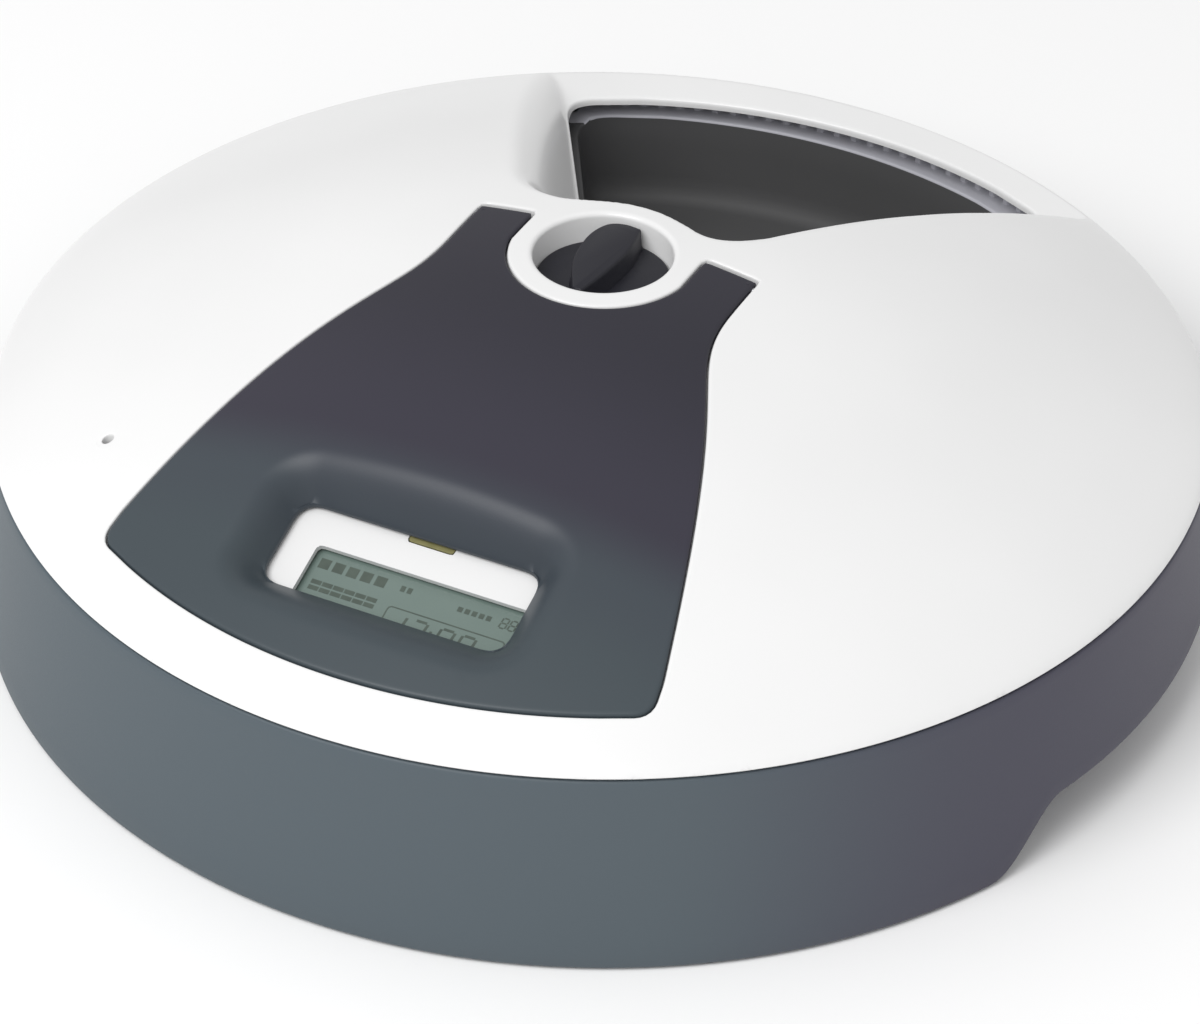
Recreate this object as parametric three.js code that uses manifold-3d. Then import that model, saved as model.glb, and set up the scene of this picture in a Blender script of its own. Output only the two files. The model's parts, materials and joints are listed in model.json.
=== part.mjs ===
// Automatic pet feeder: a round base holding a turning food tray, under a domed lid that carries
// the clock, the drive and the batteries. Millimetres, +Z up, origin on the floor under the middle.
// The control panel faces -Y and the feeding opening faces +Y.
import * as THREE from 'three';
import { mergeVertices } from 'three/addons/utils/BufferGeometryUtils.js';
import Module from 'manifold-3d';

const wasm = await Module();
wasm.setup();

// ---- Driving dimensions -------------------------------------------------------------------
// Overall
const BASE_RADIUS = 160;        // at the floor
const SEAM_RADIUS = 154.7;      // where lid and base meet
const SEAM_Z = 53.4;
const DOME_TOP = 96.0;          // height of the dome's crown, if it weren't bored
const DOME_CURVE = 294;         // the dome drops by r * r / (2 * DOME_CURVE)
const EDGE_START = 142.5;       // radius where the dome turns down into its rim
const ABOVE = DOME_TOP + 14;    // upright cuts run between these two heights
const BELOW = 40;

// Clearances
const TOUCH = 0.3;              // between pieces that rest on each other
const RUN = 0.6;                // around pieces that turn or slide
const SEAM_GAP = 0.6;

// Base
const FOOT_PROUD = 0.5;
const BASE_WALL = 2.6;
const BASE_FLOOR_TOP = 19.5;
const BASE_FLOOR = 2.4;
const GRIP_HEIGHT = 15.6;       // hand hold in the wall, on both sides
const GRIP_HALF_ANGLE = 27.5;
const GRIP_RISE_ANGLE = 8.5;
const RIB_COUNT = 6;
const FOOT_COUNT = 4;
const FOOT_RADIUS = 9;
const FOOT_PITCH = 134;         // radius of the feet's circle

// Centre post, which the lid locks onto
const POST_RADIUS = 12.2;
const POST_BORE = 8.4;
const POST_TOP = 59;
const POST_FLANGE = 20;
const FLANGE_THICK = 2.5;
const LEDGE_THICK = 3;          // the ring that the knob's lugs turn under

// Food tray
const COMPARTMENTS = 6;
const TRAY_RADIUS = 151.2;
const TRAY_FLOOR = 2.2;
const RIM_Z = 48.5;
const CAVITY_RADIUS = 142.2;
const CAVITY_CORNER = 9;
const DIVIDER = 2.6;
const DIVIDER_DROP = 1.0;       // dividers end this far under the rim
const HUB_RADIUS = 27;
const RING_TEETH = 180;
const GEAR_PITCH_RADIUS = 148.2;
const GEAR_HEIGHT = 3.4;        // the toothed wall stands this far above the rim
const TOOTH_IN = 1.3;
const TOOTH_OUT = 1.5;
const PINION_SHARE = 0.36;      // half a pinion tooth's width at its root, as a share of the pitch
const TOOTH_ROOM = 0.4;         // between one gear's tips and the other's roots
const PINION_TEETH = 12;
const PINION_ANGLE = 200;       // where the drive sits, from +X

// Lid
const LID_WALL = 2.4;
const OPENING_HALF_ANGLE = 31;  // hole in the lid, a little wider than one compartment
const OPENING_RADIUS = 141.3;
const OPENING_SHIFT = 4.4;      // the back edge's arc is centred this far to +X
const OPENING_CORNER = 10;
const SCOOP_Z = 56;             // top of the flat sill behind the hole
const SILL_THICK = 2.1;
const CHEEK_RUN = 0.42;         // sideways run of the scoop's cheeks for each mm of height
const SCOOP_NEAR_Y = 20.7;
const SCOOP_CORNER = 12;
const COLLAR_Z = 52;
const HUB_RING = 25.4;          // outside of the lid's round hub
const KNOB_RECESS = 17.6;
const KNOB_DROP = 8;            // knob's disc under the crown
const KNOB_FLOOR_Z = DOME_TOP - KNOB_DROP;
const KNOB_THICK = 3.2;
const BLADE_RISE = 5.8;
const SHAFT_RADIUS = 5.3;
const LUG_REACH = 7.7;
const LUG_HALF_WIDTH = 2.2;
const LUG_THICK = 3;
const GUIDE_END_Z = 62;
const BOSS_RADIUS = 4;          // posts under the lid for the liner's screws
const MIC_RADIUS = 1.5;
const MIC_PLACE = [-88.8, -92.8];
const MIC_CAN = 4.8;
const SPEAKER_PLACE = [-38, 2];

// Cover flap over the controls
const FLAP_THICK = 2.4;
const FLAP_GAP = 0.9;
const FLAP_BED = 0.8;           // gap under the flap
const FLAP_NOTCH = 24.4;        // round cut that clears the knob ring
const HORN_INNER = 24;
const HORN_OUTER = 38.4;
const HORN_END_Y = 8.5;
const FLAP_FRONT = 141.4;
const FLAP_CORNER = 9;
const HINGE_Y = 6;
const HINGE_DEPTH = 2.6;        // pin's axis under the dome
const PIN_RADIUS = 1.0;
const BARREL_RADIUS = 2.0;
const HORN_SWING = 4.2;         // the horns' ends turn inside this radius about the pin

// Display, laid out in a panel frame that leans with the dome
const PANEL_TILT = THREE.MathUtils.degToRad(20.4);
const PANEL_DROP = 30.4;        // panel frame's origin under the crown
const PANEL_ORIGIN = new THREE.Vector3(0, -106, DOME_TOP - PANEL_DROP);
const WINDOW = [65, 23.8];
const WINDOW_CORNER = 4;
const FUNNEL_RUN = 0.85;        // the window's walls spread by this for each mm of height
const FUNNEL_WALL = 1.6;
const DECK_W = -2.2;            // white deck under the flap, below the window's edge
const DECK_THICK = 2.0;
const LCD = [60, 22.5];
const LCD_PLACE = [4.3, -7];
const LCD_LIP = 1.5;            // the deck covers the glass's edge by this
const GLASS_THICK = 1.2;
const BOARD_W = -8.6;
const BOARD = [76, 46];
const BOARD_V = 10.5;
const BOARD_THICK = 1.6;
const BUTTON_COUNT = 5;
const BUTTON_PITCH = 17;
const BUTTON_RADIUS = 5;
const BUTTON_V = 28;
const BUTTON_PROUD = 2.4;
const LENS = [12, 2.4];
const LENS_PLACE = [2, 12.2];

// Under-lid liner, drive and power
const LINER_Z = 50;
const LINER_THICK = 1.6;
const LINER_RADIUS = 145.6;
const LINER_RIM_Z = 54.6;
const CELL_RADIUS = 7.25;
const CELL_LENGTH = 50.5;
const CELL_COUNT = 4;
const CELL_PITCH = 15;
const BAY_CENTRE = [70, -20];
const BAY_WALL = 1.5;
const DOOR_THICK = 1.1;
const DOOR_MARGIN = 3;

// Facets
const ROUND = 40;
const SMALL_ROUND = 16;
const TAU = Math.PI * 2;

// ---- Colours --------------------------------------------------------------------------------
const finish = (color, roughness, metalness = 0) => (
  new THREE.MeshStandardMaterial({ color, roughness, metalness })
);
const WHITE = finish(0xf4f4f2, 0.35);
const SLATE = finish(0x566066, 0.55);
const DARK = finish(0x454550, 0.5);
const CHARCOAL = finish(0x3a3a3c, 0.5);
const KNOB = finish(0x34343e, 0.4);
const RUBBER = finish(0x2b2b2b, 0.9);
const STEEL = finish(0xb9bcc0, 0.35, 0.9);
const GLASS = finish(0x8a9a90, 0.15);
const BOARD_GREEN = finish(0x2f6a45, 0.6);
const NYLON = finish(0xe6e2d3, 0.5);
const CELL = finish(0x4d5a78, 0.4, 0.3);
const LENS_AMBER = finish(0x8e8b5e, 0.3);

// ---- Solids -----------------------------------------------------------------------------------
function signedVolume(position, index) {
  const [a, b, c] = [new THREE.Vector3(), new THREE.Vector3(), new THREE.Vector3()];
  let sum = 0;
  for (let i = 0; i < index.length; i += 3) {
    a.fromBufferAttribute(position, index[i]);
    b.fromBufferAttribute(position, index[i + 1]);
    c.fromBufferAttribute(position, index[i + 2]);
    sum += a.dot(b.cross(c)) / 6;
  }
  return sum;
}

// A closed three.js geometry as a solid, with its faces turned outwards.
function solid(source) {
  source.deleteAttribute('normal');
  source.deleteAttribute('uv');
  const merged = mergeVertices(source, 1e-4);
  const index = [];
  const raw = merged.index.array;
  for (let i = 0; i < raw.length; i += 3) {
    const [a, b, c] = [raw[i], raw[i + 1], raw[i + 2]];
    if (a !== b && b !== c && a !== c) index.push(a, b, c);
  }
  const triVerts = Uint32Array.from(index);
  if (signedVolume(merged.attributes.position, triVerts) < 0) triVerts.reverse();
  const vertProperties = Float32Array.from(merged.attributes.position.array);
  return new wasm.Manifold(new wasm.Mesh({ numProp: 3, vertProperties, triVerts }));
}

const join = (...solids) => solids.reduce((a, b) => a.add(b));
const cut = (body, ...tools) => tools.reduce((a, b) => a.subtract(b), body);

// Outline turned round the Z axis. Points are [radius, z] and close on themselves or on the axis.
function turned(points, segments = ROUND) {
  const profile = points.map(([r, z]) => new THREE.Vector2(r, z));
  const closed = points[0][0] === 0 ? profile : [...profile, profile[0].clone()];
  return solid(new THREE.LatheGeometry(closed, segments).rotateX(Math.PI / 2));
}

const rod = (radius, z0, z1, segments = SMALL_ROUND) => (
  turned([[0, z0], [radius, z0], [radius, z1], [0, z1]], segments)
);
const tube = (inner, outer, z0, z1, segments = ROUND) =>
  turned([[inner, z0], [outer, z0], [outer, z1], [inner, z1]], segments);

// A flat outline, [x, y] points, raised from z0 to z1.
function raised(outline, z0, z1, holes = []) {
  const shape = new THREE.Shape(outline.map(([x, y]) => new THREE.Vector2(x, y)));
  holes.forEach((hole) => shape.holes.push(new THREE.Path(hole.map(([x, y]) => new THREE.Vector2(x, y)))));
  const geometry = new THREE.ExtrudeGeometry(shape, { depth: z1 - z0, bevelEnabled: false });
  return solid(geometry.translate(0, 0, z0));
}

const box = (sx, sy, sz, x, y, z) => solid(new THREE.BoxGeometry(sx, sy, sz).translate(x, y, z));

// A solid between two outlines with the same number of points, at heights z0 and z1.
function lofted(lower, upper, z0, z1) {
  const count = lower.length;
  const points = [...lower.map(([x, y]) => [x, y, z0]), ...upper.map(([x, y]) => [x, y, z1])].flat();
  const caps = THREE.ShapeUtils.triangulateShape(lower.map(([x, y]) => new THREE.Vector2(x, y)), []);
  const index = [];
  caps.forEach(([a, b, c]) => index.push(c, b, a, a + count, b + count, c + count));
  for (let i = 0; i < count; i += 1) {
    const j = (i + 1) % count;
    index.push(i, j, j + count, i, j + count, i + count);
  }
  const geometry = new THREE.BufferGeometry();
  geometry.setAttribute('position', new THREE.Float32BufferAttribute(points, 3));
  geometry.setIndex(index);
  return solid(geometry);
}

// ---- Outlines -------------------------------------------------------------------------------------
const polar = (radius, degrees) => {
  const angle = THREE.MathUtils.degToRad(degrees);
  return [radius * Math.cos(angle), radius * Math.sin(angle)];
};

function arc(cx, cy, radius, from, to, steps) {
  const points = [];
  for (let i = 0; i <= steps; i += 1) {
    const [x, y] = polar(radius, from + ((to - from) * i) / steps);
    points.push([cx + x, cy + y]);
  }
  return points;
}

// The outline with each corner replaced by a curve that starts `radius` away from it.
function softened(corners, radius, steps = 4) {
  return corners.flatMap((corner, i) => {
    const before = new THREE.Vector2(...corners[(i + corners.length - 1) % corners.length]);
    const after = new THREE.Vector2(...corners[(i + 1) % corners.length]);
    const here = new THREE.Vector2(...corner);
    const reach = Math.min(radius, before.distanceTo(here) / 2.1, after.distanceTo(here) / 2.1);
    const start = here.clone().add(before.sub(here).setLength(reach));
    const end = here.clone().add(after.sub(here).setLength(reach));
    return new THREE.QuadraticBezierCurve(start, here, end).getPoints(steps).map((p) => [p.x, p.y]);
  });
}

// The outline moved outwards by a distance. It runs anticlockwise.
function grown(outline, distance) {
  return outline.map(([x, y], i) => {
    const [px, py] = outline[(i + outline.length - 1) % outline.length];
    const [nx, ny] = outline[(i + 1) % outline.length];
    const first = new THREE.Vector2(y - py, px - x).normalize();
    const second = new THREE.Vector2(ny - y, x - nx).normalize();
    const mean = first.clone().add(second).normalize();
    const reach = distance / Math.max(0.5, mean.dot(first));
    return [x + mean.x * reach, y + mean.y * reach];
  });
}

const rectangle = (width, height, corner, cx = 0, cy = 0) => {
  const [a, b] = [width / 2, height / 2];
  return softened([[cx - a, cy - b], [cx + a, cy - b], [cx + a, cy + b], [cx - a, cy + b]], corner, 3);
};

// ---- Dome -------------------------------------------------------------------------------------------
const domeZ = (radius) => DOME_TOP - (radius * radius) / (2 * DOME_CURVE);
const domeSlope = (radius) => -radius / DOME_CURVE;

// Everything under the dome, lowered by `depth`, down to `floor`.
function underDome(depth, floor = SEAM_Z + SEAM_GAP / 2) {
  const rim = SEAM_RADIUS - depth;
  const start = new THREE.Vector2(EDGE_START - depth / 2, domeZ(EDGE_START - depth / 2) - depth);
  const corner = new THREE.Vector2(rim, start.y + domeSlope(EDGE_START) * (rim - start.x));
  const end = new THREE.Vector2(rim, Math.min(SEAM_Z, corner.y - 1));
  const edge = new THREE.QuadraticBezierCurve(start, corner, end);
  const points = [[0, floor], [rim, floor]];
  edge.getPoints(2).reverse().forEach((p) => points.push([p.x, p.y]));
  const rings = 4;
  for (let i = rings - 1; i >= 0; i -= 1) {
    const radius = (start.x * i) / rings;
    points.push([radius, domeZ(radius) - depth]);
  }
  return turned(points);
}

// ---- Panel frame ----------------------------------------------------------------------------------
// u runs along X, v up the slope, w out of the panel.
const panelMatrix = new THREE.Matrix4().makeRotationX(PANEL_TILT).setPosition(PANEL_ORIGIN);
const panelAt = (u, v, w) => new THREE.Vector3(u, v, w).applyMatrix4(panelMatrix);

function geometryOf(body) {
  const mesh = body.getMesh();
  const geometry = new THREE.BufferGeometry();
  geometry.setAttribute('position', new THREE.BufferAttribute(Float32Array.from(mesh.vertProperties), 3));
  geometry.setIndex(Array.from(mesh.triVerts));
  return geometry;
}

const onPanel = (body) => solid(geometryOf(body).applyMatrix4(panelMatrix));
const movedTo = (body, x, y, z = 0) => solid(geometryOf(body).translate(x, y, z));
const turnedBy = (body, degrees) => solid(geometryOf(body).rotateZ(THREE.MathUtils.degToRad(degrees)));

// ---- Assembly -------------------------------------------------------------------------------------
const feeder = new THREE.Group();

function piece(name, body, material) {
  const geometry = geometryOf(body);
  geometry.computeVertexNormals();
  const mesh = new THREE.Mesh(geometry, material);
  mesh.name = name;
  feeder.add(mesh);
  return mesh;
}

// ---- Base -------------------------------------------------------------------------------------------
const wallRadius = (z) => BASE_RADIUS + ((SEAM_RADIUS - BASE_RADIUS) * z) / SEAM_Z;
const baseTop = SEAM_Z - SEAM_GAP / 2;
const floorUnder = BASE_FLOOR_TOP - BASE_FLOOR;

// The hand hold's edge, as the height of the cut at an angle from the side's middle.
function gripHeight(angle) {
  const t = THREE.MathUtils.clamp((GRIP_HALF_ANGLE - Math.abs(angle)) / GRIP_RISE_ANGLE, 0, 1);
  return GRIP_HEIGHT * THREE.MathUtils.smoothstep(t, 0, 1);
}

// A ring-shaped block through the wall, as high as the hand hold.
function gripTool(side) {
  const angles = [];
  const steps = 6;
  for (let i = 0; i <= steps; i += 1) angles.push(-GRIP_HALF_ANGLE + (GRIP_RISE_ANGLE * i) / steps);
  for (let i = 1; i < 6; i += 1) angles.push(-19 + (38 * i) / 6);
  for (let i = 0; i <= steps; i += 1) angles.push(GRIP_HALF_ANGLE - GRIP_RISE_ANGLE * (1 - i / steps));
  const [inner, outer, below] = [BASE_RADIUS - 16, BASE_RADIUS + 10, -2];
  const points = [];
  const index = [];
  angles.forEach((angle) => {
    const z = FOOT_PROUD + gripHeight(angle);
    [[inner, below], [outer, below], [outer, z], [inner, z]].forEach(([radius, height]) => {
      const [x, y] = polar(radius, angle + side);
      points.push(x, y, height);
    });
  });
  for (let i = 0; i + 1 < angles.length; i += 1) {
    for (let k = 0; k < 4; k += 1) {
      const [a, b] = [i * 4 + k, i * 4 + ((k + 1) % 4)];
      index.push(a, b, b + 4, a, b + 4, a + 4);
    }
  }
  const last = (angles.length - 1) * 4;
  index.push(0, 2, 1, 0, 3, 2, last, last + 1, last + 2, last, last + 2, last + 3);
  const geometry = new THREE.BufferGeometry();
  geometry.setAttribute('position', new THREE.Float32BufferAttribute(points, 3));
  geometry.setIndex(index);
  return solid(geometry);
}

const feet = [];
for (let i = 0; i < FOOT_COUNT; i += 1) feet.push(polar(FOOT_PITCH, 45 + (i * 360) / FOOT_COUNT));
const postScrews = [0, 1, 2].map((i) => polar(16.2, 90 + i * 120));
const SCREW_SHANK = 1.5;
const SCREW_HEAD = 2.8;

function baseShell() {
  const wall = turned([
    [wallRadius(FOOT_PROUD) - BASE_WALL, FOOT_PROUD], [wallRadius(FOOT_PROUD), FOOT_PROUD],
    [wallRadius(baseTop), baseTop], [wallRadius(baseTop) - BASE_WALL, baseTop],
  ]);
  const floor = rod(wallRadius(BASE_FLOOR_TOP) - BASE_WALL / 2, floorUnder, BASE_FLOOR_TOP, ROUND);
  const track = tube(117, 120, BASE_FLOOR_TOP - 1, BASE_FLOOR_TOP + 0.7);
  const drop = tube(126, 128.2, 6, floorUnder + 1);
  let shell = join(cut(wall, gripTool(0), gripTool(180)), floor, track, drop);
  for (let i = 0; i < RIB_COUNT; i += 1) {
    const rib = box(100, 2, 8, 76, 0, floorUnder - 3);
    shell = join(shell, turnedBy(rib, (i * 360) / RIB_COUNT));
  }
  feet.forEach(([x, y]) => {
    shell = join(shell, movedTo(rod(FOOT_RADIUS + 2, FOOT_PROUD, floorUnder + 1), x, y));
  });
  feet.forEach(([x, y]) => {
    shell = cut(shell, movedTo(rod(FOOT_RADIUS + TOUCH, FOOT_PROUD - 1, FOOT_PROUD + 2), x, y));
  });
  postScrews.forEach(([x, y]) => {
    shell = cut(shell, movedTo(rod(SCREW_SHANK + TOUCH, floorUnder - 1, BASE_FLOOR_TOP + 1, 12), x, y));
  });
  return shell;
}
piece('base_shell', baseShell(), SLATE);
feet.forEach(([x, y], i) => {
  const profile = [[0, 0], [FOOT_RADIUS - 1, 0], [FOOT_RADIUS, 0.8], [FOOT_RADIUS, 2.2], [0, 2.2]];
  const foot = turned(profile, SMALL_ROUND);
  piece(`foot_${i + 1}`, movedTo(foot, x, y), RUBBER);
});

// ---- Centre post ----------------------------------------------------------------------------------
const flangeTop = BASE_FLOOR_TOP + TOUCH + FLANGE_THICK;
const lugTop = POST_TOP - LEDGE_THICK - RUN;

function centrePost() {
  const flange = rod(POST_FLANGE, BASE_FLOOR_TOP + TOUCH, flangeTop, 36);
  const body = join(flange, rod(POST_RADIUS, flangeTop - 1, POST_TOP, 36));
  const bore = rod(POST_BORE, flangeTop + 2, POST_TOP - LEDGE_THICK);
  const mouth = rod(SHAFT_RADIUS + RUN, POST_TOP - LEDGE_THICK - 1, POST_TOP + 1);
  const slot = box(2 * (LUG_REACH + RUN), 2 * (LUG_HALF_WIDTH + RUN), 8, 0, 0, POST_TOP - 1);
  const hole = rod(SCREW_SHANK + TOUCH, BASE_FLOOR_TOP, flangeTop - 1, 12);
  const holes = postScrews.map(([x, y]) => movedTo(hole, x, y));
  return cut(body, bore, mouth, slot, ...holes);
}
piece('centre_post', centrePost(), NYLON);
postScrews.forEach(([x, y], i) => {
  const screw = join(
    rod(SCREW_HEAD, floorUnder - TOUCH - 1.6, floorUnder - TOUCH, 16),
    rod(SCREW_SHANK, floorUnder - TOUCH - 0.5, flangeTop - 1 - TOUCH, 12),
  );
  piece(`post_screw_${i + 1}`, movedTo(screw, x, y), STEEL);
});
const washerBottom = flangeTop + TOUCH;
const washerTop = washerBottom + 0.6;
piece('thrust_washer', tube(POST_RADIUS + RUN, POST_FLANGE - 1, washerBottom, washerTop, 24), NYLON);

// ---- Food tray ------------------------------------------------------------------------------------
const trayBottom = BASE_FLOOR_TOP + 0.7 + TOUCH;
const hubSeat = washerTop + TOUCH;

// One compartment's outline, centred on +X.
function compartment() {
  const half = 180 / COMPARTMENTS;
  const edge = DIVIDER / 2;
  const reach = (radius) => half - THREE.MathUtils.radToDeg(Math.asin(edge / radius));
  const outerAt = reach(CAVITY_RADIUS);
  const innerAt = reach(HUB_RADIUS);
  const outer = arc(0, 0, CAVITY_RADIUS, -outerAt, outerAt, 12);
  const inner = arc(0, 0, HUB_RADIUS, innerAt, -innerAt, 4);
  const trim = THREE.MathUtils.radToDeg(CAVITY_CORNER / CAVITY_RADIUS);
  const angleOf = ([x, y]) => Math.abs(THREE.MathUtils.radToDeg(Math.atan2(y, x)));
  const kept = outer.filter((point) => angleOf(point) < outerAt - trim / 2);
  const side = (sign) => polar(CAVITY_RADIUS - CAVITY_CORNER, sign * reach(CAVITY_RADIUS - CAVITY_CORNER));
  const bend = (sign) => polar(CAVITY_RADIUS - CAVITY_CORNER * 0.25, sign * (outerAt - trim * 0.12));
  return [side(-1), bend(-1), ...kept, bend(1), side(1), ...inner];
}

// A gear's teeth as one closed outline: outward when the tip radius is the larger.
function teeth(count, tip, root, share) {
  const points = [];
  const step = 360 / count;
  for (let i = 0; i < count; i += 1) {
    const middle = i * step;
    points.push(polar(root, middle - step * share), polar(tip, middle));
    if (share < 0.5) points.push(polar(root, middle + step * share));
  }
  return points;
}

const gearTop = RIM_Z + GEAR_HEIGHT;
const pinionPitch = (GEAR_PITCH_RADIUS * PINION_TEETH) / RING_TEETH;
const pinionPlace = polar(GEAR_PITCH_RADIUS - pinionPitch, PINION_ANGLE);

function foodTray() {
  const dividerTop = RIM_Z - DIVIDER_DROP;
  const underRim = RIM_Z - 6;
  const body = turned([
    [POST_RADIUS + RUN + 2.4, trayBottom], [CAVITY_RADIUS + 2, trayBottom], [CAVITY_RADIUS + 2, underRim],
    [TRAY_RADIUS, underRim], [TRAY_RADIUS, RIM_Z], [CAVITY_RADIUS - 3, RIM_Z], [CAVITY_RADIUS - 3, dividerTop],
    [POST_RADIUS + RUN + 2.4, dividerTop],
  ]);
  const hub = tube(POST_RADIUS + RUN, POST_RADIUS + RUN + 3.4, hubSeat, dividerTop, 36);
  const seat = rod(POST_FLANGE + RUN, trayBottom - 1, hubSeat, 36);
  const outline = [];
  for (let i = 0; i < ROUND; i += 1) outline.push(polar(TRAY_RADIUS, (i * 360) / ROUND));
  const ring = raised(outline, RIM_Z - 1, gearTop, [
    teeth(RING_TEETH, GEAR_PITCH_RADIUS - TOOTH_IN, GEAR_PITCH_RADIUS + TOOTH_OUT, 0.5).reverse(),
  ]);
  const pocket = raised(compartment(), trayBottom + TRAY_FLOOR, RIM_Z + 1);
  const pockets = [];
  for (let i = 0; i < COMPARTMENTS; i += 1) pockets.push(turnedBy(pocket, 30 + (i * 360) / COMPARTMENTS));
  const magnet = movedTo(rod(MAGNET_RADIUS + TOUCH, RIM_Z - 4, RIM_Z + 1, 16), ...magnetPlace);
  return cut(join(cut(body, seat), hub, ring), ...pockets, magnet);
}
const MAGNET_RADIUS = 2.2;
const magnetPlace = polar(CAVITY_RADIUS + 3.2, 120);
piece('food_tray', foodTray(), CHARCOAL);
piece('index_magnet', movedTo(rod(MAGNET_RADIUS, RIM_Z - 4 + TOUCH, RIM_Z, 16), ...magnetPlace), STEEL);

// ---- Lid --------------------------------------------------------------------------------------------
const linerTop = LINER_Z + LINER_THICK;
const linerScrews = [[-100, 40], [118, -42], [88, -88], [-84, -106]];
const screwTop = linerTop + 4.8;

// The hole over one compartment, running anticlockwise.
function openingOutline() {
  const half = THREE.MathUtils.degToRad(OPENING_HALF_ANGLE);
  const along = new THREE.Vector2(Math.sin(half), Math.cos(half));
  const start = along.clone().multiplyScalar(HUB_RING - 4);
  const outer = arc(OPENING_SHIFT, 0, OPENING_RADIUS, 90 - OPENING_HALF_ANGLE, 90 + OPENING_HALF_ANGLE, 12);
  const shorten = (OPENING_CORNER / OPENING_RADIUS) * 57.3 * 0.7;
  const kept = outer.filter(([x, y]) => {
    const angle = THREE.MathUtils.radToDeg(Math.atan2(x - OPENING_SHIFT, y));
    return Math.abs(angle) < OPENING_HALF_ANGLE - shorten;
  });
  const side = (sign) => {
    const end = along.clone().multiplyScalar(OPENING_RADIUS - OPENING_CORNER * 1.15);
    return [sign * end.x, end.y];
  };
  const bend = (sign) => {
    const end = along.clone().multiplyScalar(OPENING_RADIUS - OPENING_CORNER * 0.35 + sign * OPENING_SHIFT * 0.4);
    return [sign * (end.x - 1.2), end.y];
  };
  return [[start.x, start.y], side(1), bend(1), ...kept, bend(-1), side(-1), [-start.x, start.y]];
}

// The scooped hollow above the hole, with leaning cheeks, widened by `extra`.
function scoop(extra, floor) {
  const half = THREE.MathUtils.degToRad(OPENING_HALF_ANGLE);
  const top = 104;
  const outline = (height) => {
    const out = (extra + CHEEK_RUN * (height - SCOOP_Z)) / Math.cos(half);
    const near = SCOOP_NEAR_Y - extra;
    const far = BASE_RADIUS + 20;
    const x = (y) => y * Math.tan(half) + out;
    return softened([[x(near), near], [x(far), far], [-x(far), far], [-x(near), near]], SCOOP_CORNER);
  };
  const hub = rod(HUB_RING - extra, floor - 1, top + 1, ROUND);
  return cut(lofted(outline(floor), outline(top), floor, top), hub);
}

function flapSide(steps) {
  const curve = new THREE.CubicBezierCurve(
    new THREE.Vector2(HORN_OUTER, -8), new THREE.Vector2(HORN_OUTER, -36),
    new THREE.Vector2(52, -29.7), new THREE.Vector2(74.2, -122),
  );
  return curve.getPoints(steps).map((p) => [p.x, p.y]);
}

// The flap's outline, running anticlockwise from the right horn's end.
function flapOutline() {
  const side = flapSide(7).filter(([, y]) => y > -113);
  const frontAngle = 58.6;
  const front = arc(0, 0, FLAP_FRONT, -90 - frontAngle / 2 + 2, -90 + frontAngle / 2 - 2, 6);
  const turn = [side[side.length - 1], [73.2, -121.2], front[front.length - 1]];
  const corner = softened(turn, FLAP_CORNER, 4).slice(5, 10);
  const mirror = (points) => points.map(([x, y]) => [-x, y]).reverse();
  const right = [[HORN_OUTER, HORN_END_Y], ...side, ...corner];
  const notchAngle = THREE.MathUtils.radToDeg(Math.asin(HORN_INNER / FLAP_NOTCH));
  const notch = arc(0, 0, FLAP_NOTCH, -90 - notchAngle, -90 + notchAngle, 8);
  const clockwise = [...right, ...front.slice(1, -1).reverse(), ...mirror(right)];
  return [...clockwise, [-HORN_INNER, HORN_END_Y], ...notch, [HORN_INNER, HORN_END_Y]].reverse();
}

const flapEdge = flapOutline();
const bedDepth = FLAP_THICK + FLAP_BED;

// The deep part of the bed, over the flat deck.
function deckOutline(extra) {
  const side = flapSide(6).filter(([, y]) => y < -44 && y > -113).map(([x, y]) => [x - 6, y]);
  const front = arc(0, 0, FLAP_FRONT - 6, -90 + 24, -90 - 24, 5);
  const mirror = side.map(([x, y]) => [-x, y]).reverse();
  return grown([...side, ...front, ...mirror].reverse(), extra);
}

function overPanel(outline, w) {
  const slab = onPanel(box(200, 140, 60, 0, 20, w + 30));
  return slab.intersect(raised(outline, BELOW, ABOVE));
}

const hingePoint = [0, HINGE_Y, domeZ(Math.hypot(31, HINGE_Y)) - HINGE_DEPTH];
const alongX = (radius, x0, x1, segments = 16) => {
  const geometry = new THREE.CylinderGeometry(radius, radius, x1 - x0, segments).rotateZ(Math.PI / 2);
  return solid(geometry.translate((x0 + x1) / 2, hingePoint[1], hingePoint[2]));
};

const deckUnder = DECK_W - DECK_THICK;
const buttonPlaces = [];
for (let i = 0; i < BUTTON_COUNT; i += 1) {
  buttonPlaces.push([(i - (BUTTON_COUNT - 1) / 2) * BUTTON_PITCH, BUTTON_V]);
}
const knobUnder = KNOB_FLOOR_Z - KNOB_THICK;
const cupFloorTop = knobUnder - TOUCH;
const cupFloorUnder = cupFloorTop - LID_WALL;

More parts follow.
